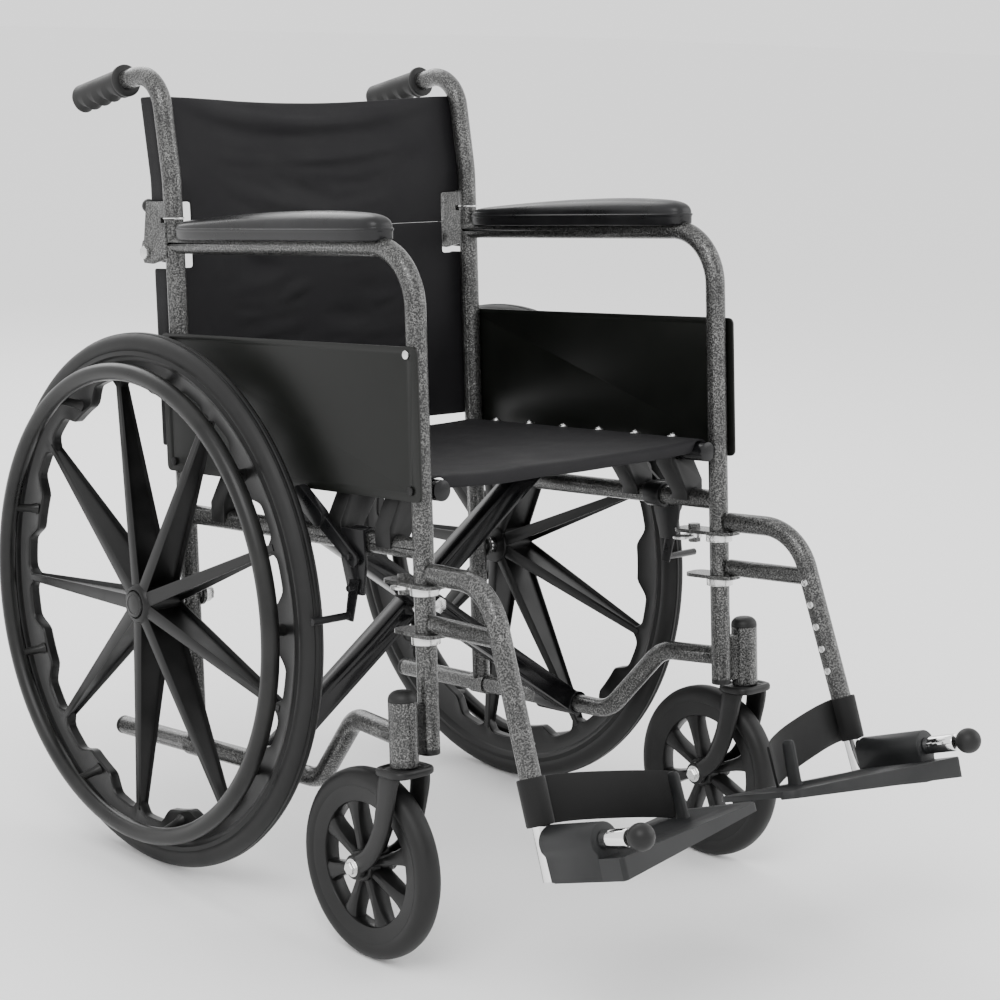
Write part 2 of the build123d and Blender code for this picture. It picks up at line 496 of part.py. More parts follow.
crown = extrude(Pos(STEM_X, STEM_Y + 1, CROWN_Z) * RectangleRounded(2 * LEG_X[1], 40, 14), CROWN_T)
leg_face = make_face([Spline((0, STEM_Y - 18, CROWN_Z + CROWN_T), (0, STEM_Y - 15, CROWN_Z - 45),
                             (0, STEM_Y + 12, CASTER_Z + 22), (0, CASTER_Y - 6, CASTER_Z - 12)),
                      Line((0, CASTER_Y - 6, CASTER_Z - 12), (0, CASTER_Y + 8, CASTER_Z + 11)),
                      Spline((0, CASTER_Y + 8, CASTER_Z + 11), (0, STEM_Y + 32, CASTER_Z + 44),
                             (0, STEM_Y + 15, CROWN_Z - 40), (0, STEM_Y + 20, CROWN_Z + CROWN_T)),
                      Line((0, STEM_Y + 20, CROWN_Z + CROWN_T), (0, STEM_Y - 18, CROWN_Z + CROWN_T))])
fork = crown
for side in (-1, 1):
    leg = extrude(leg_face, LEG_X[1] - LEG_X[0], dir=(1, 0, 0))
    low_x = STEM_X + (LEG_X[0] if side > 0 else -LEG_X[1])
    fork += Pos(low_x, 0, 0) * leg
    fork += rod(caster_point(low_x - STEM_X), caster_point(low_x - STEM_X + LEG_X[1] - LEG_X[0]), 13)
fork += rod((STEM_X, STEM_Y, CROWN_Z), (STEM_X, STEM_Y, HOUSING_Z), STEM_R + 3)
fork += rod((STEM_X, STEM_Y, CROWN_Z), (STEM_X, STEM_Y, HOUSING_TOP - 4), STEM_R)
fork -= rod(caster_point(-40), caster_point(40), CASTER_AXLE_R)
stem_nut = hexagon((STEM_X, STEM_Y, HOUSING_TOP - 10), (STEM_X, STEM_Y, HOUSING_TOP - 4), 16.0)
fork += stem_nut
caster_axle = bolt(caster_point(LEG_X[1]), caster_point(-LEG_X[1]), CASTER_AXLE_R, 13.0, 5.0)
save_pair("caster_fork", fork, caster_axle)

caster_hub_half = LEG_X[0] - 0.8
caster_wheel = rod(caster_point(-11), caster_point(11), CASTER_RIM_R, CASTER_RIM_IN)
caster_wheel += rod(caster_point(-caster_hub_half), caster_point(caster_hub_half), CASTER_HUB_R)
caster_spoke = box((STEM_X - 8, STEM_X + 8), (CASTER_Y - 6.5, CASTER_Y + 6.5),
                   (CASTER_Z + CASTER_HUB_R - 4, CASTER_Z + CASTER_RIM_IN + 3))
for index in range(CASTER_SPOKES):
    caster_wheel += caster_spoke.rotate(caster_axis, (index + 0.5) * 360 / CASTER_SPOKES)
caster_wheel -= rod(caster_point(-40), caster_point(40), CASTER_AXLE_R + RUN)
save_pair("caster_wheel", caster_wheel)
tread = rod(caster_point(-CASTER_HALF), caster_point(CASTER_HALF), CASTER_R, CASTER_RIM_R)
tread = fillet(tread.edges().filter_by(GeomType.CIRCLE).sort_by(lambda e: e.radius)[-2:], 11)
save_pair("caster_tyre", tread)

# ---- swing-away footrest -----------------------------------------------------------------------------
HANG_TOP_Z = 376.0          # upper arm centre line
HANG_LOW_Z = 324.0          # lower arm centre line
HANG_SLOPE = 17.5           # degrees that the footrest tube leans forward
HANG_BEND = 60.0
HANG_END_Z = 172.0          # lower end of the footrest tube
FOOT_TUBE_END = 97.0
FOOT_TUBE_R = TUBE_R - WALL - RUN
PLATE_T = 4.0
slope = tan(radians(HANG_SLOPE))


def on_tube(z):
    """Point of the footrest tube's centre line at a height."""
    return (X, FOOT_Y + (z - FOOT_Z) * slope, z)


arm_start = POST_Y - TUBE_R - 5
hanger_points = [(X, arm_start, HANG_TOP_Z), on_tube(HANG_TOP_Z), on_tube(HANG_END_Z)]
hanger = tube(hanger_points, [HANG_BEND])
hanger_core = tube(hanger_points, [HANG_BEND], TUBE_R - WALL, 0)
hanger += rod((X, arm_start, HANG_LOW_Z), on_tube(HANG_LOW_Z), 9.5, 8.0) - hanger_core
plate_reach = {HANG_TOP_Z - TUBE_R - PLATE_T + 0.5: 58.0, HANG_LOW_Z - 9.5 - PLATE_T + 0.5: 42.0}
for low, reach in plate_reach.items():
    plan = Pos(X, POST_Y + (reach - 24) / 2, low) * RectangleRounded(30, reach + 24, 11)
    hanger += extrude(plan, PLATE_T)
hanger -= rod((X, POST_Y, HANG_LOW_Z - 40), (X, POST_Y, HANG_TOP_Z + 40), TUBE_R + RUN)
LATCH_Y = POST_Y + 36.0
LATCH_Z = HANG_TOP_Z - TUBE_R - PLATE_T + 0.5
hanger -= rod((X, LATCH_Y, LATCH_Z - 20), (X, LATCH_Y, LATCH_Z + 20), 3.5)

latch = extrude(Pos(X - 8, LATCH_Y + 4, LATCH_Z - 6.5) * RectangleRounded(38, 18, 6), 3)
latch += extrude(Pos(X, LATCH_Y, LATCH_Z - 6.5) * Circle(9), 6.3)
latch -= rod((X, LATCH_Y, LATCH_Z - 20), (X, LATCH_Y, LATCH_Z + 20), 3.5 + RUN)
save_pair("hanger_latch", toed(latch))
latch_bolt = rod((X, LATCH_Y, LATCH_Z - 8), (X, LATCH_Y, LATCH_Z + PLATE_T), 3.5)
latch_bolt += hexagon((X, LATCH_Y, LATCH_Z + PLATE_T), (X, LATCH_Y, LATCH_Z + PLATE_T + 5), 12.0)
latch_bolt += hexagon((X, LATCH_Y, LATCH_Z - 12), (X, LATCH_Y, LATCH_Z - 6.8), 12.0)
save_pair("footrest_hanger", toed(hanger), toed(latch_bolt))


def on_pin(along, out=0.0, up=0.0):
    """Point beside the footplate pin: along it, inboard of it and square above it."""
    return (X - out, FOOT_Y + along * PIN_Y + up * PIN_Z, FOOT_Z + along * PIN_Z - up * PIN_Y)


SHAFT_R = 6.5
SHAFT_END = 129.0
BARREL = (12.0, 94.0)
BARREL_R = 17.0
SOLE_DROP = 16.0            # top of the footplate below the pin
foot_top = HANG_END_Z + 125
foot_tube = rod(on_tube(foot_top), on_tube(FOOT_TUBE_END), FOOT_TUBE_R, FOOT_TUBE_R - WALL)
foot_core = rod(on_tube(foot_top), on_tube(FOOT_TUBE_END), FOOT_TUBE_R - WALL)
shaft = rod(on_pin(0), on_pin(SHAFT_END), SHAFT_R) - foot_core
shaft -= rod(on_pin(96), on_pin(SHAFT_END + 1), 3.0 + RUN)
save_pair("foot_tube", toed(foot_tube + shaft))

# The plate is drawn on its own plane: along the pin, outboard of it and square above it. Its inboard
# edge stands a little high, and a skirt runs down its outboard and front edges.
PLATE_ROLL = 4.0            # degrees that the inboard edge stands above the pin's own level
PLATE_IN = 215.5            # inboard reach of the plate from the pin
SOLE_T = 6.0
SKIRT_DEEP = 38.0           # skirt's lower edge below the pin, beside the barrel
SKIRT_WALL = 4.0
SIDE_OUT = 12.0             # outboard face of the plate from the pin
FRONT_ALONG = (127.0, 75.0)  # front edge at the outboard side and at the inboard end
REAR_ALONG = -40.0
plate_up = Vector(sin(radians(PLATE_ROLL)), PIN_Z * cos(radians(PLATE_ROLL)), -PIN_Y * cos(radians(PLATE_ROLL)))
plate_plane = Plane(origin=on_pin(0), x_dir=(0, PIN_Y, PIN_Z), z_dir=plate_up)
plate_plan = [(BARREL[0] + 1.5, SIDE_OUT), (FRONT_ALONG[0], SIDE_OUT), (FRONT_ALONG[1], -PLATE_IN),
              (REAR_ALONG, 16.0 - PLATE_IN), (BARREL[0] + 2, -40.0)]
sole = extrude(Pos(0, 0, -SOLE_DROP) * make_face(Polyline(*plate_plan, close=True)), -SOLE_T)
rear_corners = sole.edges().filter_by(Axis.Z).sort_by(Axis.X)[:2]
footplate = fillet(rear_corners, 9)
front_plan = [(*plate_plan[1], -SOLE_DROP), (*plate_plan[2], -SOLE_DROP),
              (*plate_plan[2], -SOLE_DROP - SOLE_T - 2), (*plate_plan[1], -SKIRT_DEEP)]
front_run = Vector(*plate_plan[2]) - Vector(*plate_plan[1])
front_skirt = extrude(make_face(Polyline(*front_plan, close=True)), SKIRT_WALL, dir=(front_run.Y, -front_run.X, 0))
footplate += front_skirt
footplate += box(plate_plan[0][:1] + (FRONT_ALONG[0],), (SIDE_OUT - SKIRT_WALL, SIDE_OUT), (-SKIRT_DEEP, -SOLE_DROP))
footplate += box((BARREL[0] + 1.5, BARREL[1]), (-14, SIDE_OUT), (-SKIRT_DEEP, 0))
LOOP_POST = (30.0, -152.0)  # where the heel loop's post stands on the plate
post_low, post_high = -SOLE_DROP - 1, 32.0
footplate += box((LOOP_POST[0] - 8, LOOP_POST[0] + 8), (LOOP_POST[1] - 3.5, LOOP_POST[1] + 3.5), (post_low, post_high))
footplate = plate_plane * footplate
footplate += rod(on_pin(BARREL[0]), on_pin(BARREL[1]), BARREL_R)
footplate -= rod(on_pin(BARREL[0] - 1), on_pin(BARREL[1] + 1), SHAFT_R + RUN)
save_pair("footplate", toed(footplate))

knob = Pos(*on_pin(BALL_AT)) * Sphere(BALL_R)
knob += rod(on_pin(SHAFT_END + 0.5), on_pin(BALL_AT), 5.0)
knob += rod(on_pin(100), on_pin(BALL_AT), 3.0)
save_pair("pull_knob", toed(knob))

# The heel strap wraps the footrest tube and runs behind the heel to a post on the footplate.
STRAP_H = 44.0
STRAP_T = 3.0
tube_dir = (Vector(*on_tube(200)) - Vector(*on_tube(100))).normalized()
strap_low = Vector(*on_tube(FOOT_Z + BARREL_R + 1))
strap = rod(strap_low, strap_low + tube_dir * STRAP_H, TUBE_R + CLEAR + STRAP_T, TUBE_R + CLEAR)
post_top = plate_plane.from_local_coords(Vector(*LOOP_POST, 4))
ring_y = strap_low.Y + tube_dir.Y * STRAP_H / 2
band_plan = [(X - TUBE_R - 1, ring_y + TUBE_R - 1), (X - 60, ring_y + 14),
             (post_top.X + 30, post_top.Y + 20), (post_top.X + 12, post_top.Y + 14)]
band_line = Spline(*[(x, y, strap_low.Z) for x, y in band_plan])
band_origin = (*band_plan[0], strap_low.Z + STRAP_H / 2)
band_start = Plane(origin=band_origin, z_dir=band_line.tangent_at(0), x_dir=(0, 0, 1))
band = sweep(band_start * Rectangle(STRAP_H - 4, STRAP_T), path=Pos(0, 0, STRAP_H / 2) * band_line)
band -= rod(strap_low - tube_dir * 20, strap_low + tube_dir * 90, TUBE_R + CLEAR)
save_pair("heel_strap", toed(strap + band))

# ---- bolts, washers and bearings of the side frame ---------------------------------------------------
hardware = []
axle = rod((X - TUBE_R - 3 - 14, 0, REAR_R), (HUB_X[1] - 6, 0, REAR_R), AXLE_R)
axle += hexagon((X - TUBE_R - 3 - 11, 0, REAR_R), (X - TUBE_R - 3, 0, REAR_R), 19.0)
axle += hexagon((HUB_X[1] - 12 + CLEAR, 0, REAR_R), (HUB_X[1] - 7, 0, REAR_R), 18.0)
axle += rod((X + TUBE_R + 3, 0, REAR_R), (HUB_X[0] - CLEAR, 0, REAR_R), 11.0)
hardware.append(axle)
hardware.append(bolt((X + EAR_OUT, *BACK_PIVOT), (X - EAR_OUT, *BACK_PIVOT), PIVOT_R, 13.0, 5.0))
for y, z in SKIRT_SCREWS:
    screw = rod((X + TUBE_R - 5, y, z), (X + TUBE_R + SKIRT_T, y, z), SCREW_R)
    hardware.append(screw + rod((X + TUBE_R + SKIRT_T, y, z), (X + TUBE_R + SKIRT_T + 2.2, y, z), 4.5))
for low in (HOUSING_Z + 2, HOUSING_TOP - 20):
    hardware.append(rod((STEM_X, STEM_Y, low), (STEM_X, STEM_Y, low + 8), HOUSING_BORE, STEM_R + RUN))
for low in plate_reach:
    hardware.append(rod((X, POST_Y, low - 8 - 0.2), (X, POST_Y, low - 0.2), TUBE_R + 4, TUBE_R))
save_pair("hardware", *hardware)

# ---- plastic plugs, caps and seat saddles --------------------------------------------------------------
trim = [rod((X, POST_Y, POST_END - PLUG), (X, POST_Y, POST_END), TUBE_R)]
trim.append(rod((X, STUB_Y, LOWER_Z), (X, STUB_Y + PLUG, LOWER_Z), TUBE_R))
cap = rod((STEM_X, STEM_Y, HOUSING_TOP), (STEM_X, STEM_Y, HOUSING_TOP + 11), HOUSING_R)
trim.append(fillet(cap.faces().sort_by(Axis.Z)[-1].edges(), 9.5))
SADDLE_HALF = 12.0
SADDLES_Y = (-368.0, -288.0, -78.0)
saddle_in = SEAT_RAIL_X - TUBE_R - 4
saddle_outline = [(X + 13, UPPER_Z - 2), (X + 13, UPPER_Z + 20), (X - 3, SEAT_RAIL_Z - 8),
                  (X - 3, SEAT_RAIL_Z + 6), (saddle_in, SEAT_RAIL_Z + 6), (saddle_in, SEAT_RAIL_Z - 16),
                  (X - 13, UPPER_Z + 6), (X - 13, UPPER_Z - 2)]
saddle_face = make_face(Polyline(*[(x, 0, z) for x, z in saddle_outline], close=True))
saddle = extrude(saddle_face, SADDLE_HALF, both=True, dir=(0, 1, 0))
rail_room = TUBE_R + CLEAR
saddle -= rod((SEAT_RAIL_X, -40, SEAT_RAIL_Z), (SEAT_RAIL_X, 40, SEAT_RAIL_Z), rail_room)
saddle -= box((SEAT_RAIL_X - rail_room, SEAT_RAIL_X + rail_room), (-40, 40), (SEAT_RAIL_Z, SEAT_RAIL_Z + 40))
saddle -= rod((X, -40, UPPER_Z), (X, 40, UPPER_Z), TUBE_R)
trim += [Pos(0, y, 0) * saddle for y in SADDLES_Y]
save_pair("frame_trim", *trim)
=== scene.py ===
import bmesh
import bpy
import json
from math import atan2, cos, exp, pi, radians, sin, tan
from mathutils import Matrix, Vector, noise


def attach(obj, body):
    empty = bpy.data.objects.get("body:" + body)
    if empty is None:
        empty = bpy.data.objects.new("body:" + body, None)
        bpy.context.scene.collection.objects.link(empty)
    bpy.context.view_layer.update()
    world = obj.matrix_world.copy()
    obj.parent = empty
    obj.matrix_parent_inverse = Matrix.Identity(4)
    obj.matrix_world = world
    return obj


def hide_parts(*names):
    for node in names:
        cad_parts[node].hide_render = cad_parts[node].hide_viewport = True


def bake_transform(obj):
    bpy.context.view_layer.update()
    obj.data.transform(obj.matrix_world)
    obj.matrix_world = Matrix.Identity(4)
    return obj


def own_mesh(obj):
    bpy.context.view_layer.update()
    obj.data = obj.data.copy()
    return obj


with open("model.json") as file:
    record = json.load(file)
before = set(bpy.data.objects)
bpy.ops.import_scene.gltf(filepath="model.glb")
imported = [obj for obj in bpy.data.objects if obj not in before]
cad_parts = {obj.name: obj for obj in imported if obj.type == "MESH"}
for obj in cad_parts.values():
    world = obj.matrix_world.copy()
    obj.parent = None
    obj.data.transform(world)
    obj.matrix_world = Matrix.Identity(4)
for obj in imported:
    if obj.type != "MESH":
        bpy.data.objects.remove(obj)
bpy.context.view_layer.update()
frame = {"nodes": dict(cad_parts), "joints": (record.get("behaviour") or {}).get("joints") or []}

# ==== Painted side frames ===========================================================================
# Steel tube, 22 mm across, bent and welded into one side frame each side. The enamel is black with a
# silver hammered vein. The whole frame leans back a little about the rear axle.
MM = 0.001
JOINT = {joint["name"]: joint for joint in frame["joints"]}
HUB = Vector(JOINT["rear_wheel_spin_left"]["pos_m"])
LEAN = atan2(-JOINT["frame_fold"]["axis"][2], JOINT["frame_fold"]["axis"][1])
TUBE_R = 11.0
RAIL_X = 220.0
POST_Y = -417.0
SIDES = (("left", 1), ("right", -1))


def upright(x, y, z):
    """A place on the frame as it is drawn upright, in mm: y from the rear post and z from the floor."""
    y, z = y * MM, z * MM - HUB.z
    return Vector((x * MM, HUB.y + y * cos(LEAN) + z * sin(LEAN), HUB.z - y * sin(LEAN) + z * cos(LEAN)))


def shader(name):
    """A new material with its node tree and its Principled shader."""
    material = bpy.data.materials.new(name)
    material.use_nodes = True
    tree = material.node_tree
    return material, tree, tree.nodes["Principled BSDF"]


def grouped(tree, group, **values):
    """One of the shared effect groups inside a material, with its own values."""
    node = tree.nodes.new("ShaderNodeGroup")
    node.node_tree = group
    for key, value in values.items():
        node.inputs[key.replace("_", " ")].default_value = value
    return node


def bumped(tree, bsdf, height, strength, distance):
    """A Bump node from a height to the shader's normal."""
    bump = tree.nodes.new("ShaderNodeBump")
    bump.inputs["Strength"].default_value = strength
    bump.inputs["Distance"].default_value = distance
    tree.links.new(height, bump.inputs["Height"])
    tree.links.new(bump.outputs["Normal"], bsdf.inputs["Normal"])


def effect(name, inputs, outputs):
    """An empty effect group with named sockets, its group input and its group output."""
    group = bpy.data.node_groups.new(name, "ShaderNodeTree")
    for title, kind, value in inputs:
        socket = group.interface.new_socket(title, in_out="INPUT", socket_type=kind)
        socket.default_value = value
    for title, kind in outputs:
        group.interface.new_socket(title, in_out="OUTPUT", socket_type=kind)
    return group, group.nodes.new("NodeGroupInput"), group.nodes.new("NodeGroupOutput")


def speckle(group, scale, detail, roughness, vector):
    """A noise texture whose scale is a number or a socket."""
    tex = group.nodes.new("ShaderNodeTexNoise")
    if isinstance(scale, (int, float)):
        tex.inputs["Scale"].default_value = scale
    else:
        group.links.new(scale, tex.inputs["Scale"])
    tex.inputs["Detail"].default_value = detail
    tex.inputs["Roughness"].default_value = roughness
    group.links.new(vector, tex.inputs["Vector"])
    return tex.outputs["Fac"]


def ramp(group, fac, low, high, first, last):
    """Map a value between low and high onto first to last, clamped."""
    node = group.nodes.new("ShaderNodeMapRange")
    node.inputs["From Min"].default_value = low
    node.inputs["From Max"].default_value = high
    for value, key in ((first, "To Min"), (last, "To Max")):
        if isinstance(value, (int, float)):
            node.inputs[key].default_value = value
        else:
            group.links.new(value, node.inputs[key])
    group.links.new(fac, node.inputs["Value"])
    return node.outputs["Result"]


def blended(group, fac, first, second):
    """Mix two colours, given as sockets."""
    node = group.nodes.new("ShaderNodeMix")
    node.data_type = "RGBA"
    group.links.new(fac, node.inputs["Factor"])
    group.links.new(first, node.inputs["A"])
    group.links.new(second, node.inputs["B"])
    return node.outputs["Result"]


COLOUR, NUMBER = "NodeSocketColor", "NodeSocketFloat"
vein, vein_in, vein_out = effect("hammered vein",
                                 [("Ground", COLOUR, (0, 0, 0, 1)), ("Vein", COLOUR, (1, 1, 1, 1)),
                                                   ("Scale", NUMBER, 560.0)],
                                 [("Color", COLOUR), ("Roughness", NUMBER), ("Height", NUMBER),
                                  ("Metal", NUMBER)])
place = vein.nodes.new("ShaderNodeTexCoord").outputs["Object"]
fine = speckle(vein, vein_in.outputs["Scale"], 3.0, 0.62, place)
cloud = speckle(vein, 38.0, 2.0, 0.5, place)
mask = ramp(vein, fine, 0.46, 0.60, 0.0, 1.0)
worn = ramp(vein, cloud, 0.30, 0.70, 0.55, 1.0)
product = vein.nodes.new("ShaderNodeMath")
product.operation = "MULTIPLY"
vein.links.new(mask, product.inputs[0])
vein.links.new(worn, product.inputs[1])
vein.links.new(blended(vein, product.outputs[0], vein_in.outputs["Ground"], vein_in.outputs["Vein"]),
               vein_out.inputs["Color"])
vein.links.new(ramp(vein, fine, 0.3, 0.7, 0.42, 0.20), vein_out.inputs["Roughness"])
vein.links.new(mask, vein_out.inputs["Height"])
vein.links.new(ramp(vein, mask, 0.0, 1.0, 0.25, 0.75), vein_out.inputs["Metal"])

frame_paint, tree, bsdf = shader("hammered_enamel")
node = grouped(tree, vein, Ground=(0.006, 0.006, 0.006, 1), Vein=(0.19, 0.19, 0.185, 1), Scale=560.0)
tree.links.new(node.outputs["Color"], bsdf.inputs["Base Color"])
tree.links.new(node.outputs["Roughness"], bsdf.inputs["Roughness"])
tree.links.new(node.outputs["Metal"], bsdf.inputs["Metallic"])
bumped(tree, bsdf, node.outputs["Height"], 0.35, 0.0004)
bsdf.inputs["Coat Weight"].default_value = 0.35
bsdf.inputs["Coat Roughness"].default_value = 0.12


def shaded(mesh, angle=35.0):
    """Smooth shading with edges sharper than the angle kept sharp."""
    mesh.shade_smooth()
    mesh.set_sharp_from_angle(angle=radians(angle))


def fitted(piece, body, slot, *nodes):
    """Seat a finished piece on its body and hide the drawn solids that it stands for; the slot is not used.
    """
    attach(piece, body)
    if nodes:
        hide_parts(*nodes)
    return piece


def flattened(piece):
    """Turn a piece and its modifiers into a plain mesh."""
    bpy.context.view_layer.update()
    graph = bpy.context.evaluated_depsgraph_get()
    mesh = bpy.data.meshes.new_from_object(piece.evaluated_get(graph))
    piece.modifiers.clear()
    piece.data = mesh
    return piece


def dressed(name, node, material, body, slot, round_mm=0.0):
    """The drawn solid with merged faces, edges softened when a rounding is given, and its real finish."""
    mesh = frame["nodes"][node].data.copy()
    work = bmesh.new()
    work.from_mesh(mesh)
    bmesh.ops.remove_doubles(work, verts=work.verts, dist=2e-5)
    bmesh.ops.dissolve_limit(work, angle_limit=radians(0.5), verts=work.verts, edges=work.edges)
    work.to_mesh(mesh)
    work.free()
    mesh.materials.clear()
    mesh.materials.append(material)
    piece = bpy.data.objects.new(name, mesh)
    bpy.context.scene.collection.objects.link(piece)
    if round_mm:
        bevel = piece.modifiers.new("softened edges", "BEVEL")
        bevel.width = round_mm * MM
        bevel.segments = 2
        bevel.limit_method = "ANGLE"
        bevel.angle_limit = radians(40)
        flattened(piece)
    shaded(piece.data)
    return fitted(piece, body, slot, node)


for side, _ in SIDES:
    for part in ("arm_tube", "rear_post", "side_rails", "caster_housing"):
        dressed(f"painted_{part}_{side}", f"{part}_{side}", frame_paint, f"frame_{side}", "frame_paint")
    dressed(f"painted_cane_{side}", f"back_cane_{side}", frame_paint, f"cane_{side}", "frame_paint")
    dressed(f"painted_hanger_{side}", f"footrest_hanger_{side}", frame_paint, f"hanger_{side}", "frame_paint")

# ==== Black enamelled cross brace =====================================================================
# Two square steel bars welded to sleeves and seat rails, in plain gloss black with a little orange
# peel, joined by one bright bolt through a spacer.
moulded, moulded_in, moulded_out = effect("moulded grain",
                                          [("Dark", COLOUR, (0, 0, 0, 1)), ("Pale", COLOUR, (0, 0, 0, 1)),
                                                            ("Scale", NUMBER, 900.0), ("Gloss", NUMBER, 0.35),
                                                            ("Matt", NUMBER, 0.55)],
                                          [("Color", COLOUR), ("Roughness", NUMBER), ("Height", NUMBER)])
place = moulded.nodes.new("ShaderNodeTexCoord").outputs["Object"]
fine = speckle(moulded, moulded_in.outputs["Scale"], 2.0, 0.5, place)
cloud = speckle(moulded, 22.0, 4.0, 0.6, place)
moulded.links.new(blended(moulded, ramp(moulded, cloud, 0.35, 0.7, 0.0, 1.0), moulded_in.outputs["Dark"],
                          moulded_in.outputs["Pale"]), moulded_out.inputs["Color"])
moulded.links.new(ramp(moulded, cloud, 0.3, 0.7, moulded_in.outputs["Gloss"], moulded_in.outputs["Matt"]),
                  moulded_out.inputs["Roughness"])
moulded.links.new(fine, moulded_out.inputs["Height"])


def moulding(name, dark, pale, scale, gloss, matt, relief=0.1, depth=0.0002):
    """A grained finish for plastic, rubber or enamel."""
    material, tree, bsdf = shader(name)
    node = grouped(tree, moulded, Dark=(*dark, 1), Pale=(*pale, 1), Scale=scale, Gloss=gloss, Matt=matt)
    tree.links.new(node.outputs["Color"], bsdf.inputs["Base Color"])
    tree.links.new(node.outputs["Roughness"], bsdf.inputs["Roughness"])
    bumped(tree, bsdf, node.outputs["Height"], relief, depth)
    bsdf.inputs["Specular IOR Level"].default_value = 0.28
    return material


def polished(name, dark, pale, scale, gloss, matt, relief):
    """A bright metal finish."""
    material = moulding(name, dark, pale, scale, gloss, matt, relief)
    material.node_tree.nodes["Principled BSDF"].inputs["Metallic"].default_value = 1.0
    return material


gloss_black = moulding("gloss_black_enamel", (0.003, 0.003, 0.0035), (0.007, 0.007, 0.0075), 300.0, 0.12,
                       0.24, 0.08)
bright_steel = polished("zinc_steel", (0.62, 0.62, 0.62), (0.80, 0.80, 0.79), 700.0, 0.16, 0.34, 0.12)
dressed("brace_bar_front", "brace_from_left", gloss_black, "brace_1", "brace_paint", 0.8)
dressed("brace_bar_rear", "brace_from_right", gloss_black, "brace_2", "brace_paint", 0.8)
dressed("brace_bolt", "cross_bolt", bright_steel, "brace_1", "bright_steel", 0.4)

# ==== Rear wheels =====================================================================================
# Composite wheels moulded in one piece: a deep rim with nine lobes, nine I-section spokes that taper
# from the hub, and a solid tyre. The handrim stands off the lobes on nine pegs.
wheel_plastic = moulding("wheel_composite", (0.004, 0.004, 0.004), (0.009, 0.009, 0.009), 1500.0, 0.30,
                         0.46, 0.12)
tyre_rubber = moulding("solid_tyre", (0.006, 0.006, 0.006), (0.012, 0.012, 0.012), 1100.0, 0.42, 0.60, 0.2)
handrim_plastic = moulding("handrim_plastic", (0.007, 0.007, 0.007), (0.014, 0.014, 0.0135), 1300.0, 0.26,
                           0.40, 0.1)
SPOKES = 9
SPOKE_STEP = 2 * pi / SPOKES
FIRST_SPOKE = radians(24.8)
RIM_R, LOBE_BASE_R, LOBE_RISE = 285.0, 256.0, 17.0


def made(name, shape, material, angle=35.0):
    """A closed mesh piece from a shape in metres, its faces pointing outwards."""
    mesh = bpy.data.meshes.new(name)
    mesh.from_pydata([tuple(v) for v in shape.verts], [], shape.faces)
    work = bmesh.new()
    work.from_mesh(mesh)
    bmesh.ops.remove_doubles(work, verts=work.verts, dist=1e-6)
    bmesh.ops.recalc_face_normals(work, faces=work.faces)
    work.to_mesh(mesh)
    work.free()
    mesh.materials.append(material)
    shaded(mesh, angle)
    piece = bpy.data.objects.new(name, mesh)
    bpy.context.scene.collection.objects.link(piece)
    return piece


def placed(name, shape, material, angle, body, slot, *nodes):
    """A new piece from a shape, seated on its body."""
    return fitted(made(name, shape, material, angle), body, slot, *nodes)


class Shape:
    """Points and faces gathered into one piece."""

    def __init__(self):
        self.verts, self.faces = [], []

    def loft(self, rings, closed=False):
        """Skin equal rings in turn; open ends are capped."""
        start, size = len(self.verts), len(rings[0])
        for ring in rings:
            self.verts += ring
        spans = len(rings) if closed else len(rings) - 1
        for row in range(spans):
            low, high = start + row * size, start + (row + 1) % len(rings) * size
            for k in range(size):
                self.faces.append((low + k, low + (k + 1) % size, high + (k + 1) % size, high + k))
        if not closed:
            self.faces.append(tuple(range(start, start + size)))
            last = start + (len(rings) - 1) * size
            self.faces.append(tuple(reversed(range(last, last + size))))


def round_wheel(centre, side, profile, steps):
    """Rings of a wheel section, given as radius and outboard offset in mm, once round the X axis."""
    rings = []
    for step in range(steps):
        turn = step * 2 * pi / steps
        section = profile(turn) if callable(profile) else profile
        rings.append([centre + Vector((side * x, -r * cos(turn), r * sin(turn))) * MM for r, x in section])
    return rings


def lobed_rim(turn):
    """Rim section at an angle, with its inner edge swollen at the lobes and filleted into the spokes."""
    from_spoke = abs((turn - FIRST_SPOKE + SPOKE_STEP / 2) % SPOKE_STEP - SPOKE_STEP / 2)
    from_lobe = SPOKE_STEP / 2 - from_spoke
    edge = min(max((radians(10.0) - from_lobe) / radians(5.5), 0.0), 1.0)
    inner = LOBE_BASE_R - LOBE_RISE * edge * edge * (3 - 2 * edge)
    inner -= 13.0 * exp(-(from_spoke / radians(1.7)) ** 2)
    return [(RIM_R, -11), (RIM_R, 11), (280, 12.2), (277, 11), (274, 7.4), (268, 5.6), (inner + 5, 5.2),
            (inner + 1.5, 6.4), (inner, 4.5), (inner, -4.5), (inner + 1.5, -6.4), (inner + 5, -5.2),
            (268, -5.6), (274, -7.4), (277, -11), (280, -12.2)]


def spoke_rings(centre, side, turn):
    """I-section spoke from the hub to the rim, deepest at the hub."""
    out = Vector((0, -cos(turn), sin(turn)))
    across = Vector((0, sin(turn), cos(turn)))
    rings = []
    for step in range(9):
        t = step / 8
        r = 14 + (LOBE_BASE_R - 2 - 14) * t
        half = 8.2 - 3.6 * t
        face, back = 22.5 - 16.3 * t, -24.5 + 18.3 * t
        flange = 3.4 - 1.4 * t
        outline = [(0.62 * half, face), (half, face - 1.4), (half, face - flange),
                   (0.34 * half, face - flange - 1.6), (0.34 * half, back + flange + 1.6),
                   (half, back + flange), (half, back + 1.4), (0.62 * half, back)]
        outline += [(-w, x) for w, x in reversed(outline)]
        rings.append([centre + (out * r + across * w + Vector((side * x, 0, 0))) * MM for w, x in outline])
    return rings


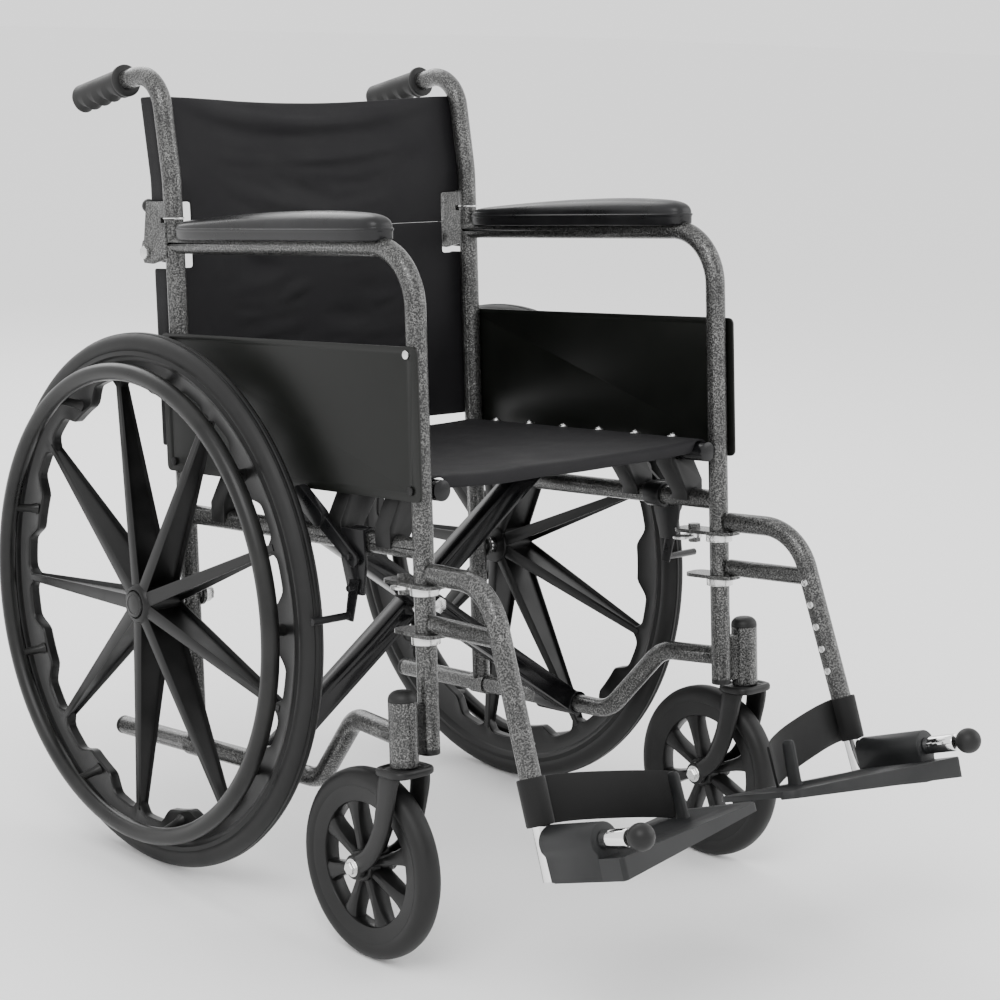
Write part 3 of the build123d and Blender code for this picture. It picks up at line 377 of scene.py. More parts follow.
def disc_rings(centre, axis, profile, steps=32):
    """Rings round an axis for a turned shape: each pair is a radius and a distance along the axis, in mm."""
    axis = axis.normalized()
    first = axis.orthogonal().normalized()
    second = axis.cross(first)
    rings = []
    for r, along in profile:
        ring = []
        for step in range(steps):
            turn = step * 2 * pi / steps
            ring.append(centre + (axis * along
                                  + (first * cos(turn) + second * sin(turn)) * max(r, 0.02)) * MM)
        rings.append(ring)
    return rings


# Half of the tyre's section from its seat to the middle of the tread: radius and half width, in mm.
tyre_half = [(RIM_R, 11.0), (287, 12.4), (291, 13.0), (296, 12.5), (300, 10.4), (302.8, 7.4), (304.2, 4.6),
             (303.4, 4.0), (304.8, 3.4), (305.0, 0.9), (304.3, 0.0)]
tyre_profile = tyre_half + [(r, -x) for r, x in reversed(tyre_half[:-1])]
for side, s in SIDES:
    hub = Vector((s * HUB.x, HUB.y, HUB.z))
    body = f"wheel_{side}"
    wheel = Shape()
    wheel.loft(round_wheel(hub, s, lobed_rim, 360), closed=True)
    for index in range(SPOKES):
        wheel.loft(spoke_rings(hub, s, FIRST_SPOKE + index * SPOKE_STEP))
    outboard = Vector((s, 0, 0))
    barrel = [(19, -26.5), (23, -26.0), (24, -24.5), (24, 20), (21, 24.0), (19.5, 25.2), (16.5, 25.6),
              (15.4, 23.5)]
    wheel.loft(disc_rings(hub, outboard, barrel, 48))
    placed(f"spoked_wheel_{side}", wheel, wheel_plastic, 32, body, "wheel_plastic", f"rear_wheel_{side}")
    cap = Shape()
    cap.loft(disc_rings(hub, outboard, [(15.2, 22.0), (15.2, 25.8), (14.4, 27.2), (11.0, 28.0),
                                        (10.6, 27.5), (5, 28.2), (0, 28.4)], 48))
    placed(f"hub_cap_{side}", cap, handrim_plastic, 30, body, "wheel_plastic")
    tyre = Shape()
    tyre.loft(round_wheel(hub, s, tyre_profile, 240), closed=True)
    placed(f"solid_tyre_{side}", tyre, tyre_rubber, 50, body, "tyre_rubber", f"rear_tyre_{side}")
    rim = Shape()
    ring = [(263.5 + 10 * cos(k * pi / 9), 32 + 10 * sin(k * pi / 9)) for k in range(18)]
    rim.loft(round_wheel(hub, s, ring, 200), closed=True)
    for index in range(SPOKES):
        turn = FIRST_SPOKE + (index + 0.5) * SPOKE_STEP
        out = Vector((0, -cos(turn), sin(turn)))
        foot = hub + (out * 250 + outboard * 4) * MM
        head = hub + (out * 259 + outboard * 30) * MM
        rim.loft(disc_rings(foot, head - foot, [(7.5, 0), (6.2, 3), (5.0, 8), (4.8, 20), (5.4, 27.5)], 16))
    placed(f"push_rim_{side}", rim, handrim_plastic, 40, body, "wheel_plastic", f"handrim_{side}")

# ==== Casters =========================================================================================
# A moulded fork hangs from each swivel stem and trails a solid 203 mm wheel with eight flared spokes.
# The fork is one arched moulding with a broad dished crown, and a plated bolt is its axle.
fork_plastic = moulding("fork_plastic", (0.006, 0.006, 0.006), (0.013, 0.013, 0.013), 1200.0, 0.30, 0.46,
                        0.14)
CASTER_R, FORK_GAP, CROWN_HALF = 101.5, 2.5, 4.5
CROWN_SIZE = (26.5, 23.0)     # half width and half length
CASTER_SPOKES = 8
caster_tyre_half = [(83, 12.0), (86, 13.4), (91, 14.0), (96, 12.4), (99.6, 8.8), (101.2, 4.4), (101.5, 0.0)]
caster_tyre = caster_tyre_half + [(r, -x) for r, x in reversed(caster_tyre_half[:-1])]


def superellipse(count, power):
    """Unit outline between a circle and a square."""
    points = []
    for k in range(count):
        turn = 2 * pi * (k + 0.5) / count
        cx, sx = cos(turn), sin(turn)
        points.append((abs(cx) ** (2 / power) * (1 if cx > 0 else -1),
                       abs(sx) ** (2 / power) * (1 if sx > 0 else -1)))
    return points


def smooth_path(points, per_span=6):
    """Catmull-Rom curve through the points."""
    points = [Vector(p) for p in points]
    points = [2 * points[0] - points[1]] + points + [2 * points[-1] - points[-2]]
    path = []
    for a, b, c, d in zip(points, points[1:], points[2:], points[3:]):
        for k in range(per_span):
            t = k / per_span
            path.append(0.5 * ((2 * b) + (c - a) * t + (2 * a - 5 * b + 4 * c - d) * t * t
                               + (3 * b - a - 3 * c + d) * t ** 3))
    path.append(points[-2])
    return path


for side, s in SIDES:
    axle = Vector(JOINT[f"caster_spin_{side}"]["pos_m"])
    stem = Vector(JOINT[f"caster_swivel_{side}"]["pos_m"])
    outboard = Vector((s, 0, 0))
    up = Vector(JOINT[f"caster_swivel_{side}"]["axis"])
    ahead = outboard.cross(up) * (-1 if s > 0 else 1)
    ahead = ahead if ahead.y < 0 else -ahead
    trail = (stem - axle).dot(ahead)

    def on_fork(out, forward, height):
        """Point of the fork from the axle: outboard, forward and up along the stem, in metres."""
        return axle + outboard * out + ahead * forward + up * height

    top = (CASTER_R + FORK_GAP + CROWN_HALF) * MM
    leg = [(22, 0, 0), (22, 0.025, 0.017), (22, 0.043, 0.044), (22, 0.052, 0.072), (21.5, 0.057, 0.096)]
    half = [(out * MM, y, z) for out, y, z in leg]
    arch = half + [(0.0165, 0.0585, top - 0.0012), (0.0, 0.0590, top - 0.0005)]
    route = [on_fork(*p) for p in arch] + [on_fork(-p[0], p[1], p[2]) for p in reversed(arch[:-1])]
    path = smooth_path(route, 5)
    fork = Shape()
    rings = []
    outline = superellipse(16, 3.2)
    for index, point in enumerate(path):
        here = (path[min(index + 1, len(path) - 1)] - path[max(index - 1, 0)]).normalized()
        level = (point - axle).dot(up) / top
        thick = 4.2 + 0.3 * level
        wide = 10.0 + 5.0 * level ** 2
        across = ahead - here * ahead.dot(here)
        if across.length < 0.5:
            across = (ahead + up * -0.9) - here * (ahead + up * -0.9).dot(here)
        across.normalize()
        normal = here.cross(across).normalized()
        rings.append([point + (across * wide * a + normal * thick * b) * MM for a, b in outline])
    fork.loft(rings)
    for hand in (1, -1):
        boss = axle + outboard * hand * 18.0 * MM
        fork.loft(disc_rings(boss, outboard * hand, [(12, 0), (13, 0.8), (13, 6.4), (11.6, 8.0), (9, 8.2)],
                             32))
    crown = []
    for grow, rise in ((0.84, -4.4), (0.95, -3.8), (1.0, -2.2), (1.0, 1.8), (0.96, 3.6), (0.90, 4.3),
                       (0.82, 4.1), (0.76, 2.6), (0.40, 2.4)):
        half_wide, half_long = CROWN_SIZE[0] * grow * MM, CROWN_SIZE[1] * grow * MM
        crown.append([on_fork(a * half_wide, trail + b * half_long, top + rise * MM)
                      for a, b in superellipse(48, 4.0)])
    fork.loft(crown)
    fork.loft(disc_rings(on_fork(0, trail, top), up, [(6, 0), (6, 60)], 20))
    for hand in (1, -1):
        fork.loft(disc_rings(axle + outboard * hand * 25.6 * MM, outboard * hand, [(4, 0), (4, 2)], 12))
    placed(f"arched_fork_{side}", fork, fork_plastic, 40, f"swivel_{side}", "black_steel",
           f"caster_fork_{side}")
    bolts = Shape()
    for hand in (1, -1):
        head = [(8.6, 0), (9.0, 0.5), (8.8, 1.2), (7.2, 1.5), (7.2, 5.2), (6.0, 6.2), (0, 6.4)]
        bolts.loft(disc_rings(axle + outboard * hand * 25.9 * MM, outboard * hand, head, 6))
        bolts.loft(disc_rings(axle + outboard * hand * 25.6 * MM, outboard * hand,
                              [(9.6, 0), (9.6, 1.3), (4, 1.4)], 28))
    placed(f"caster_bolts_{side}", bolts, bright_steel, 30, f"swivel_{side}", "bright_steel")

    wheel = Shape()
    rim = [(67, -9.5), (66, -8), (66, 8), (67, 9.5), (78, 11.8), (83.2, 12.2), (83.2, -12.2), (78, -11.8)]
    wheel.loft(round_wheel(axle, s, rim, 128), closed=True)
    for index in range(CASTER_SPOKES):
        turn = (index + 0.5) * 2 * pi / CASTER_SPOKES
        out, across = Vector((0, -cos(turn), sin(turn))), Vector((0, sin(turn), cos(turn)))
        rings = []
        for step in range(7):
            t = step / 6
            wide = 5.2 + 3.2 * t + 5 * t ** 6
            deep = 12.5 - 4.0 * t
            rings.append([axle + (out * (14 + 54 * t) + across * wide * a + outboard * deep * b) * MM
                          for a, b in superellipse(12, 3.4)])
        wheel.loft(rings)
    hub_half = [(6, 0), (15, 0.3), (17, 2), (17, 15), (15.5, 17.0), (6, 17.2)]
    for hand in (1, -1):
        wheel.loft(disc_rings(axle, outboard * hand, hub_half, 40))
    placed(f"caster_hub_{side}", wheel, wheel_plastic, 35, f"caster_{side}", "wheel_plastic",
           f"caster_wheel_{side}")
    tyre = Shape()
    tyre.loft(round_wheel(axle, s, caster_tyre, 144), closed=True)
    placed(f"caster_tread_{side}", tyre, tyre_rubber, 60, f"caster_{side}", "tyre_rubber",
           f"caster_tyre_{side}")

# ==== Caps, plugs, saddles and side panels ==============================================================
# Moulded black end caps and the saddles that the seat rails drop into, and the thin satin side panels
# that keep clothes off the wheels, each held by four screws.
black_plastic = moulding("black_moulding", (0.006, 0.006, 0.006), (0.013, 0.013, 0.013), 1300.0, 0.34, 0.52,
                         0.14)
panel_black = moulding("panel_satin", (0.0035, 0.0040, 0.0032), (0.0050, 0.0055, 0.0046), 900.0, 0.36, 0.42,
                       0.10)
PANEL_SCREWS = (0.435, 0.630)  # heights between which the fixings are the panels' black screws, in m
for side, _ in SIDES:
    dressed(f"caps_and_saddles_{side}", f"frame_trim_{side}", black_plastic, f"frame_{side}",
            "black_plastic", 0.7)
    dressed(f"side_panel_{side}", f"skirt_guard_{side}", panel_black, f"frame_{side}", "panel", 0.6)
    fixings = dressed(f"plated_fixings_{side}", f"hardware_{side}", bright_steel, f"frame_{side}",
                      "bright_steel", 0.3)
    fixings.data.materials.append(black_plastic)
    for face in fixings.data.polygons:
        face.material_index = int(PANEL_SCREWS[0] < face.center.z < PANEL_SCREWS[1])

# ==== Wheel locks =======================================================================================
# Stamped steel in black: a bracket clamped to the upper rail, a hand lever with a moulded grip, and a
# shoe bar that is pushed against the tyre.
lock_black = moulding("lock_black", (0.004, 0.004, 0.0045), (0.009, 0.009, 0.0095), 600.0, 0.22, 0.38, 0.1)
for side, _ in SIDES:
    for part, body in (("lock_base", "frame"), ("lock_lever", "lever"), ("lock_shoe", "shoe")):
        dressed(f"wheel_{part}_{side}", f"{part}_{side}", lock_black, f"{body}_{side}", "black_steel", 0.6)

# ==== Arm pads ==========================================================================================
# A moulded tray screwed up through the arm tube, under a crowned foam top in black skin. The edge of the
# skin shows as a raised line all round.
pad_skin = moulding("pad_skin", (0.006, 0.006, 0.0065), (0.013, 0.013, 0.014), 650.0, 0.24, 0.36, 0.28,
                    0.0004)
PAD_FROM, PAD_TO = POST_Y + 42.0, -TUBE_R - 6.0
PAD_BASE = 711.0
PAD_PEAK = 0.7               # how far forward the crown is highest


def pad_outline(inset, count=96):
    """Pad plan with round ends, as offsets from its centre in mm."""
    half_long, half_wide = (PAD_TO - PAD_FROM) / 2 - inset, 26.0 - inset
    points = []
    for k in range(count):
        turn = 2 * pi * k / count
        a, b = cos(turn), sin(turn)
        points.append((abs(a) ** (2 / 3.2) * half_wide * (1 if a > 0 else -1),
                       abs(b) ** (2 / 5.0) * half_long * (1 if b > 0 else -1)))
    return points


# Section of the pad from its base to its crown: how far in from the plan, and how high, in mm.
tray = [(4.0, 0.0), (1.6, 0.6), (0.6, 2.2), (0.4, 9.0), (0.0, 10.2), (-0.7, 11.2), (-0.7, 12.4), (0.4, 13.0)]
skin = [(0.8, 13.6), (0.7, 15.0), (1.2, 17.4), (2.6, 20.2), (5.0, 22.6), (8.4, 24.4), (12.4, 25.6),
        (17.0, 26.4), (21.6, 26.8), (25.0, 27.0)]
for side, s in SIDES:
    pad = Shape()
    rings = []
    middle = (PAD_FROM + PAD_TO) / 2
    for inset, height in tray + skin:
        ring = []
        for x, y in pad_outline(inset):
            ahead_t = 0.5 - y / (PAD_TO - PAD_FROM)
            swell = sin(pi / 2 * min(ahead_t / PAD_PEAK, 1.0)) - max(ahead_t - PAD_PEAK, 0.0) ** 2 * 5.0
            lift = height if height <= 13.0 else 13.0 + (height - 13.0) * (0.55 + 0.75 * swell)
            ring.append(upright(s * RAIL_X + x, middle + y, PAD_BASE + lift))
        rings.append(ring)
    pad.loft(rings)
    piece = placed(f"arm_pad_skin_{side}", pad, pad_skin, 50, f"frame_{side}", "pad_vinyl", f"arm_pad_{side}")

# ==== Push handles ======================================================================================
# Soft grey-black sleeves pushed onto the bent ends of the canes, with a collar at the front and a row of
# finger teeth below. A bright collar covers the joint of each cane with its rear post.
grip_rubber = moulding("grip_rubber", (0.010, 0.010, 0.010), (0.020, 0.020, 0.020), 1000.0, 0.45, 0.62, 0.3,
                       0.0004)
HANDLE_DROP = radians(10.0)
HINGE_Z = 734.0
HANDLE_FROM_Y, HANDLE_END_Y, HANDLE_END_Z = 80.0, 173.0, 875.0
GRIP_R = 15.5
TOOTH_FROM, TOOTH_PITCH = 12, 21.0
for side, s in SIDES:
    start_z = HANDLE_END_Z + (HANDLE_END_Y - HANDLE_FROM_Y) * tan(HANDLE_DROP)
    start = upright(s * RAIL_X, HANDLE_FROM_Y, start_z)
    back = (upright(s * RAIL_X, HANDLE_END_Y, HANDLE_END_Z) - start).normalized()
    below = (upright(0, 0, 0) - upright(0, 0, 1)).normalized()
    below = (below - back * below.dot(back)).normalized()
    across = back.cross(below)
    grip = Shape()
    rings = []
    stations = [(0, 11.2), (0.2, 17.4), (1.2, 18.4), (5.0, 18.4), (6.0, 17.4), (6.6, 15.6)]
    stations += [(9 + k * 1.5, None) for k in range(58)] + [(97, 14.2), (98.2, 12.4), (98.8, 8.0)]
    for along, radius in stations:
        ring = []
        for k in range(40):
            turn = 2 * pi * k / 40
            down = cos(turn)
            r = radius or GRIP_R
            if radius is None and down > 0:
                phase = ((along - TOOTH_FROM) / TOOTH_PITCH) % 1.0
                tooth = abs(phase - 0.5) * 2 if along > TOOTH_FROM else 1.0
                r += (down ** 1.5) * (5.6 * tooth - 3.0)
            ring.append(start + (back * along + below * r * down + across * r * sin(turn)) * MM)
        rings.append(ring)
    grip.loft(rings)
    placed(f"grip_sleeve_{side}", grip, grip_rubber, 50, f"cane_{side}", "grip_rubber", f"hand_grip_{side}")
    collar = Shape()
    joint_at = upright(s * RAIL_X, 0.0, HINGE_Z)
    collar.loft(disc_rings(joint_at, upright(0, 0, 1) - upright(0, 0, 0),
                           [(11.0, 0.2), (12.0, 0.4), (12.0, 1.6), (11.0, 1.8)], 40))
    placed(f"cane_collar_{side}", collar, bright_steel, 30, f"cane_{side}", "bright_steel")
    dressed(f"back_release_lever_{side}", f"back_release_{side}", black_plastic, f"release_{side}",
            "black_plastic", 0.5)

# ==== Back and seat cloth ===============================================================================
# Coated black nylon. The back is one width of cloth laced behind the canes, with its hems turned back
# outboard of them, and the seat is stretched over the two seat rails and screwed down.
weave, weave_in, weave_out = effect("woven cloth",
                                    [("Warp", COLOUR, (0, 0, 0, 1)), ("Weft", COLOUR, (0, 0, 0, 1)),
                                                    ("Thread", NUMBER, 0.0009)],
                                    [("Color", COLOUR), ("Roughness", NUMBER), ("Height", NUMBER)])
place = weave.nodes.new("ShaderNodeTexCoord").outputs["Object"]
axes = weave.nodes.new("ShaderNodeSeparateXYZ")
weave.links.new(place, axes.inputs[0])


def maths(group, operation, first, second=None):
    """A Math node on sockets or numbers."""
    node = group.nodes.new("ShaderNodeMath")
    node.operation = operation
    for index, value in enumerate((first, second)):
        if value is None:
            continue
        if isinstance(value, (int, float)):
            node.inputs[index].default_value = value
        else:
            group.links.new(value, node.inputs[index])
    return node.outputs[0]


pitch = maths(weave, "DIVIDE", 2 * pi, weave_in.outputs["Thread"])
along = maths(weave, "SINE", maths(weave, "MULTIPLY", axes.outputs["X"], pitch))
depth = maths(weave, "ADD", axes.outputs["Y"], axes.outputs["Z"])
over = maths(weave, "SINE", maths(weave, "MULTIPLY", depth, pitch))
thread = maths(weave, "MULTIPLY", along, over)
cloud = speckle(weave, 14.0, 4.0, 0.6, place)
fibre = speckle(weave, 900.0, 2.0, 0.6, place)
tone = maths(weave, "MULTIPLY", ramp(weave, cloud, 0.3, 0.7, 0.3, 1.0),
             ramp(weave, thread, -1.0, 1.0, 0.4, 1.0))
weave.links.new(blended(weave, tone, weave_in.outputs["Warp"], weave_in.outputs["Weft"]),
                weave_out.inputs["Color"])
weave.links.new(ramp(weave, cloud, 0.3, 0.7, 0.52, 0.72), weave_out.inputs["Roughness"])
weave.links.new(maths(weave, "ADD", thread, maths(weave, "MULTIPLY", fibre, 0.6)), weave_out.inputs["Height"])


def cloth_finish(name, warp, weft, thread, sheen, relief):
    """A woven finish with a soft sheen."""
    material, tree, bsdf = shader(name)
    node = grouped(tree, weave, Warp=(*warp, 1), Weft=(*weft, 1), Thread=thread)
    tree.links.new(node.outputs["Color"], bsdf.inputs["Base Color"])
    tree.links.new(node.outputs["Roughness"], bsdf.inputs["Roughness"])
    bumped(tree, bsdf, node.outputs["Height"], relief, 0.0002)
    bsdf.inputs["Specular IOR Level"].default_value = 0.2
    bsdf.inputs["Sheen Weight"].default_value = sheen
    bsdf.inputs["Sheen Roughness"].default_value = 0.4
    return material


black_nylon = cloth_finish("black_nylon", (0.004, 0.0038, 0.0045), (0.010, 0.0095, 0.011), 0.0009, 0.03, 0.25)
webbing = cloth_finish("black_webbing", (0.004, 0.004, 0.004), (0.012, 0.012, 0.012), 0.0016, 0.10, 0.6)


def hung_sheet(name, columns, rows, place_at, pinned, tight):
    """A net of cloth pinned where it is fixed, let go under its own weight and made a plain mesh."""
    verts, faces, keep = [], [], {}
    for row in range(rows + 1):
        for column in range(columns + 1):
            spot = place_at(column / columns, row / rows)
            if spot is None:
                continue
            keep[row, column] = len(verts)
            verts.append(spot)
    for row in range(rows):
        for column in range(columns):
            corners = [(row, column), (row, column + 1), (row + 1, column + 1), (row + 1, column)]
            if all(corner in keep for corner in corners):
                faces.append(tuple(keep[corner] for corner in corners))
    mesh = bpy.data.meshes.new(name)
    mesh.from_pydata([tuple(v) for v in verts], [], faces)
    piece = bpy.data.objects.new(name, mesh)
    bpy.context.scene.collection.objects.link(piece)
    group = piece.vertex_groups.new(name="pinned")
    for (row, column), index in keep.items():
        if pinned(column / columns, row / rows):
            group.add([index], 1.0, "REPLACE")
    cloth = piece.modifiers.new("cloth", "CLOTH")
    cloth.settings.quality = 6
    cloth.settings.mass = 0.12
    cloth.settings.tension_stiffness = 110
    cloth.settings.compression_stiffness = 50
    cloth.settings.shear_stiffness = 60
    cloth.settings.bending_stiffness = 1.5
    cloth.settings.vertex_group_mass = "pinned"
    cloth.settings.shrink_min = tight
    scene = bpy.context.scene
    cloth.point_cache.frame_start, cloth.point_cache.frame_end = 1, 24
    for step in range(1, 25):
        scene.frame_set(step)
    flattened(piece)
    scene.frame_set(1)
    return piece


def thickened(piece, thick, material):
    """Give a sheet its thickness and a smooth surface."""
    solid = piece.modifiers.new("thickness", "SOLIDIFY")
    solid.thickness = thick
    solid.offset = 0.0
    surface = piece.modifiers.new("smooth", "SUBSURF")
    surface.levels = surface.render_levels = 1
    flattened(piece)
    piece.data.materials.clear()
    piece.data.materials.append(material)
    shaded(piece.data, 60)
    return piece


LEAN_FROM, CANE_LEAN = 778.0, radians(8.0)
BACK_LOW, BACK_SPLIT, BACK_TOP = 476.0, 717.0, 871.0
NOTCH = (681.0, 750.0)
NOTCH_X = 192.0
FLAP = 26.0
WIDE = 221.5


def back_width(u):
    """Across the back and round each hem: x and how far behind the canes, in mm."""
    total = 2 * (WIDE + FLAP)
    distance = u * total - WIDE - FLAP
    over = abs(distance) - WIDE
    if over <= 0:
        return distance, 0.0
    return (WIDE + min(over, 2.0) * 0.4) * (1 if distance > 0 else -1), over


def back_spot(u, v):
    """Place of the back cloth before it is let go, or nothing where the cloth is cut away."""
    x, behind = back_width(u)
    sag = 2.0 * (1 - (x / WIDE) ** 2) * v ** 3
    z = BACK_LOW + (BACK_TOP - BACK_LOW) * v - sag
    if abs(x) > NOTCH_X and NOTCH[0] < z < NOTCH[1]:
        return None
    y = 12.6 + behind
    if z > LEAN_FROM:
        y += (z - LEAN_FROM) * tan(CANE_LEAN)
    inside = max(0.0, 1 - (abs(x) / 200.0) ** 4)
    broad = noise.noise(Vector((x * 0.011, z * 0.017, 3.1)))
    ripple = broad + 0.5 * noise.noise(Vector((x * 0.027, z * 0.035, 7.7)))
    y += inside * (4.0 + 6.5 * ripple)
    return upright(x, y, z)


back = hung_sheet("back_cloth", 100, 80, back_spot, lambda u, v: abs(back_width(u)[0]) > 196.0, 0.002)
lower_part = back.copy()
lower_part.data = back.data.copy()
bpy.context.scene.collection.objects.link(lower_part)
split_at = upright(0, 12.0, BACK_SPLIT)
split_up = (upright(0, 0, 1) - upright(0, 0, 0)).normalized()
for piece, sign in ((back, 1), (lower_part, -1)):
    work = bmesh.new()
    work.from_mesh(piece.data)
    geometry = work.verts[:] + work.edges[:] + work.faces[:]
    bmesh.ops.bisect_plane(work, geom=geometry, plane_co=split_at, plane_no=split_up * -sign,
                           clear_outer=True)
    work.to_mesh(piece.data)
    work.free()
for piece, name, body, node in ((back, "back_cloth_top", "cane_left", "back_cloth_upper"),
                                (lower_part, "back_cloth_base", "frame_left", "back_cloth_lower")):
    piece.name = name
    thickened(piece, 2.0 * MM, black_nylon)
    fitted(piece, body, "black_cloth", node)
    wide = 2 * (WIDE + FLAP) * MM
    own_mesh(piece)

LINKS = {}


def repeater():
    """Geometry nodes that set a copy of one fixing on each point of a mesh, turned to face one way."""
    group = bpy.data.node_groups.new("set along points", "GeometryNodeTree")
    group.is_modifier = True
    for title, kind in (("Points", "NodeSocketGeometry"), ("Fixing", "NodeSocketObject"),
                        ("Facing", "NodeSocketVector"), ("Finish", "NodeSocketMaterial")):
        LINKS[title] = group.interface.new_socket(title, in_out="INPUT", socket_type=kind).identifier
    group.interface.new_socket("Set", in_out="OUTPUT", socket_type="NodeSocketGeometry")
    names = ("NodeGroupInput", "NodeGroupOutput", "GeometryNodeObjectInfo", "FunctionNodeAlignEulerToVector",
             "GeometryNodeInstanceOnPoints", "GeometryNodeRealizeInstances", "GeometryNodeSetMaterial")
    start, end, source, turn, copies, real, finish = (group.nodes.new(name) for name in names)
    turn.axis = "Z"
    for first, second in ((start.outputs["Fixing"], source.inputs["Object"]),
                          (start.outputs["Facing"], turn.inputs["Vector"]),
                          (start.outputs["Points"], copies.inputs["Points"]),
                          (source.outputs["Geometry"], copies.inputs["Instance"]),
                          (turn.outputs["Rotation"], copies.inputs["Rotation"]),
                          (copies.outputs["Instances"], real.inputs["Geometry"]),
                          (real.outputs["Geometry"], finish.inputs["Geometry"]),
                          (start.outputs["Finish"], finish.inputs["Material"]),
                          (finish.outputs["Geometry"], end.inputs["Set"])):
        group.links.new(first, second)
    return group


set_along = repeater()


def turned_fixing(name, profile, steps):
    """One fixing turned about Z, kept out of the scene and used only as a pattern."""
    shape = Shape()
    shape.loft(disc_rings(Vector((0, 0, 0)), Vector((0, 0, 1)), profile, steps))
    pattern = made(name, shape, bright_steel, 30)
    bpy.context.scene.collection.objects.unlink(pattern)
    return pattern


def set_fixings(name, points, facing, pattern, finish):
    """Copies of a fixing on the points, as one plain mesh."""
    mesh = bpy.data.meshes.new(name)
    mesh.from_pydata([tuple(p) for p in points], [], [])
    piece = bpy.data.objects.new(name, mesh)
    bpy.context.scene.collection.objects.link(piece)
    copies = piece.modifiers.new("set along points", "NODES")
    copies.node_group = set_along
    copies[LINKS["Fixing"]] = pattern
    copies[LINKS["Facing"]] = tuple(facing)
    copies[LINKS["Finish"]] = finish
    flattened(piece)
    shaded(piece.data, 30)
    return piece


SEAT_X, SEAT_FROM, SEAT_TO = 197.0, -412.0, -22.0
SEAT_Z = 471.0


def seat_spot(u, v):
    """Place of the seat cloth: wrapped over both rails, with its front hem turned down."""
    half = SEAT_X + 12.5 * 1.1
    distance = (2 * u - 1) * half
    over = abs(distance) - SEAT_X
    x, z = distance, SEAT_Z
    if over > 0:
        turn = over / 12.5
        x = (SEAT_X + 12.5 * sin(turn)) * (1 if distance > 0 else -1)
        z = SEAT_Z - 12.5 * (1 - cos(turn))
    y = SEAT_TO + (SEAT_FROM - SEAT_TO) * min(v / 0.965, 1.0)
    if v > 0.965 and abs(x) < SEAT_X - 10:
        z -= (v - 0.965) / 0.035 * 13.0
        y -= 1.0
    inside = max(0.0, 1 - (abs(x) / 185.0) ** 4)
    ripple = noise.noise(Vector((x * 0.014, y * 0.012, 1.3)))
    return upright(x, y, z - inside * (3.0 + 2.4 * ripple))


seat = hung_sheet("seat_cloth", 72, 72, seat_spot, lambda u, v: abs(2 * u - 1) > 0.90, 0.004)
seat.name = "seat_sling"
thickened(seat, 2.2 * MM, black_nylon)
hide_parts("seat_cloth")
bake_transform(seat)

screw = turned_fixing("seat screw", [(6.4, -0.4), (6.6, 0.4), (6.0, 1.0), (4.3, 1.2), (4.0, 2.4),
                                     (2.6, 3.3), (1.4, 3.5), (1.2, 2.6), (0, 2.6)], 20)
SEAT_SCREWS = 6
SCREWS_FROM, SCREWS_TO = 68.0, 369.0
for side, s in SIDES:
    step = (SCREWS_TO - SCREWS_FROM) / (SEAT_SCREWS - 1)
    spots = [upright(s * SEAT_X, -SCREWS_FROM - step * k, SEAT_Z + 1.4) for k in range(SEAT_SCREWS)]
    row = set_fixings(f"seat_screws_{side}", spots, upright(0, 0, 1) - upright(0, 0, 0), screw, bright_steel)
    fitted(row, "brace_2" if s > 0 else "brace_1", "bright_steel")

# ==== Footrests =========================================================================================
# The plate is moulded with a ribbed top and a barrel that turns on the foot tube's pin. A sprung pin
# with a ball end comes out at the front, a webbing loop keeps the heel on the plate, and bright stops
# down the inner side of the hanger set the length.
plate_plastic = moulding("plate_moulding", (0.009, 0.0095, 0.010), (0.018, 0.0185, 0.019), 1100.0, 0.36,
                         0.52, 0.2)
chrome = polished("chrome", (0.80, 0.80, 0.80), (0.90, 0.90, 0.90), 200.0, 0.05, 0.12, 0.02)
ROLL_UP = radians(4.0)
LENGTH_STOPS = 5
FIRST_STOP, STOP_STEP = 95.0, 25.0
PIN_MIDDLE = 0.050            # from the tube's axis to the middle of the barrel, in m
END_SLANT = 16.0
LOOP_POST = (30, 152)
STRAP_LOW, STRAP_HALF = 18.0, 22.0
stop = turned_fixing("length stop", [(3.9, -1.6), (4.2, -0.4), (3.8, 0.5), (3.0, 0.8), (2.6, 0.2),
                                     (1.2, 0.4), (0, 0.4)], 20)
PLATE_IN, SIDE_OUT = 215.5, 12.0
FRONT_ALONG = (127.0, 75.0)
SKIRT_DEEP, SKIRT_WALL = 38.0, 4.0
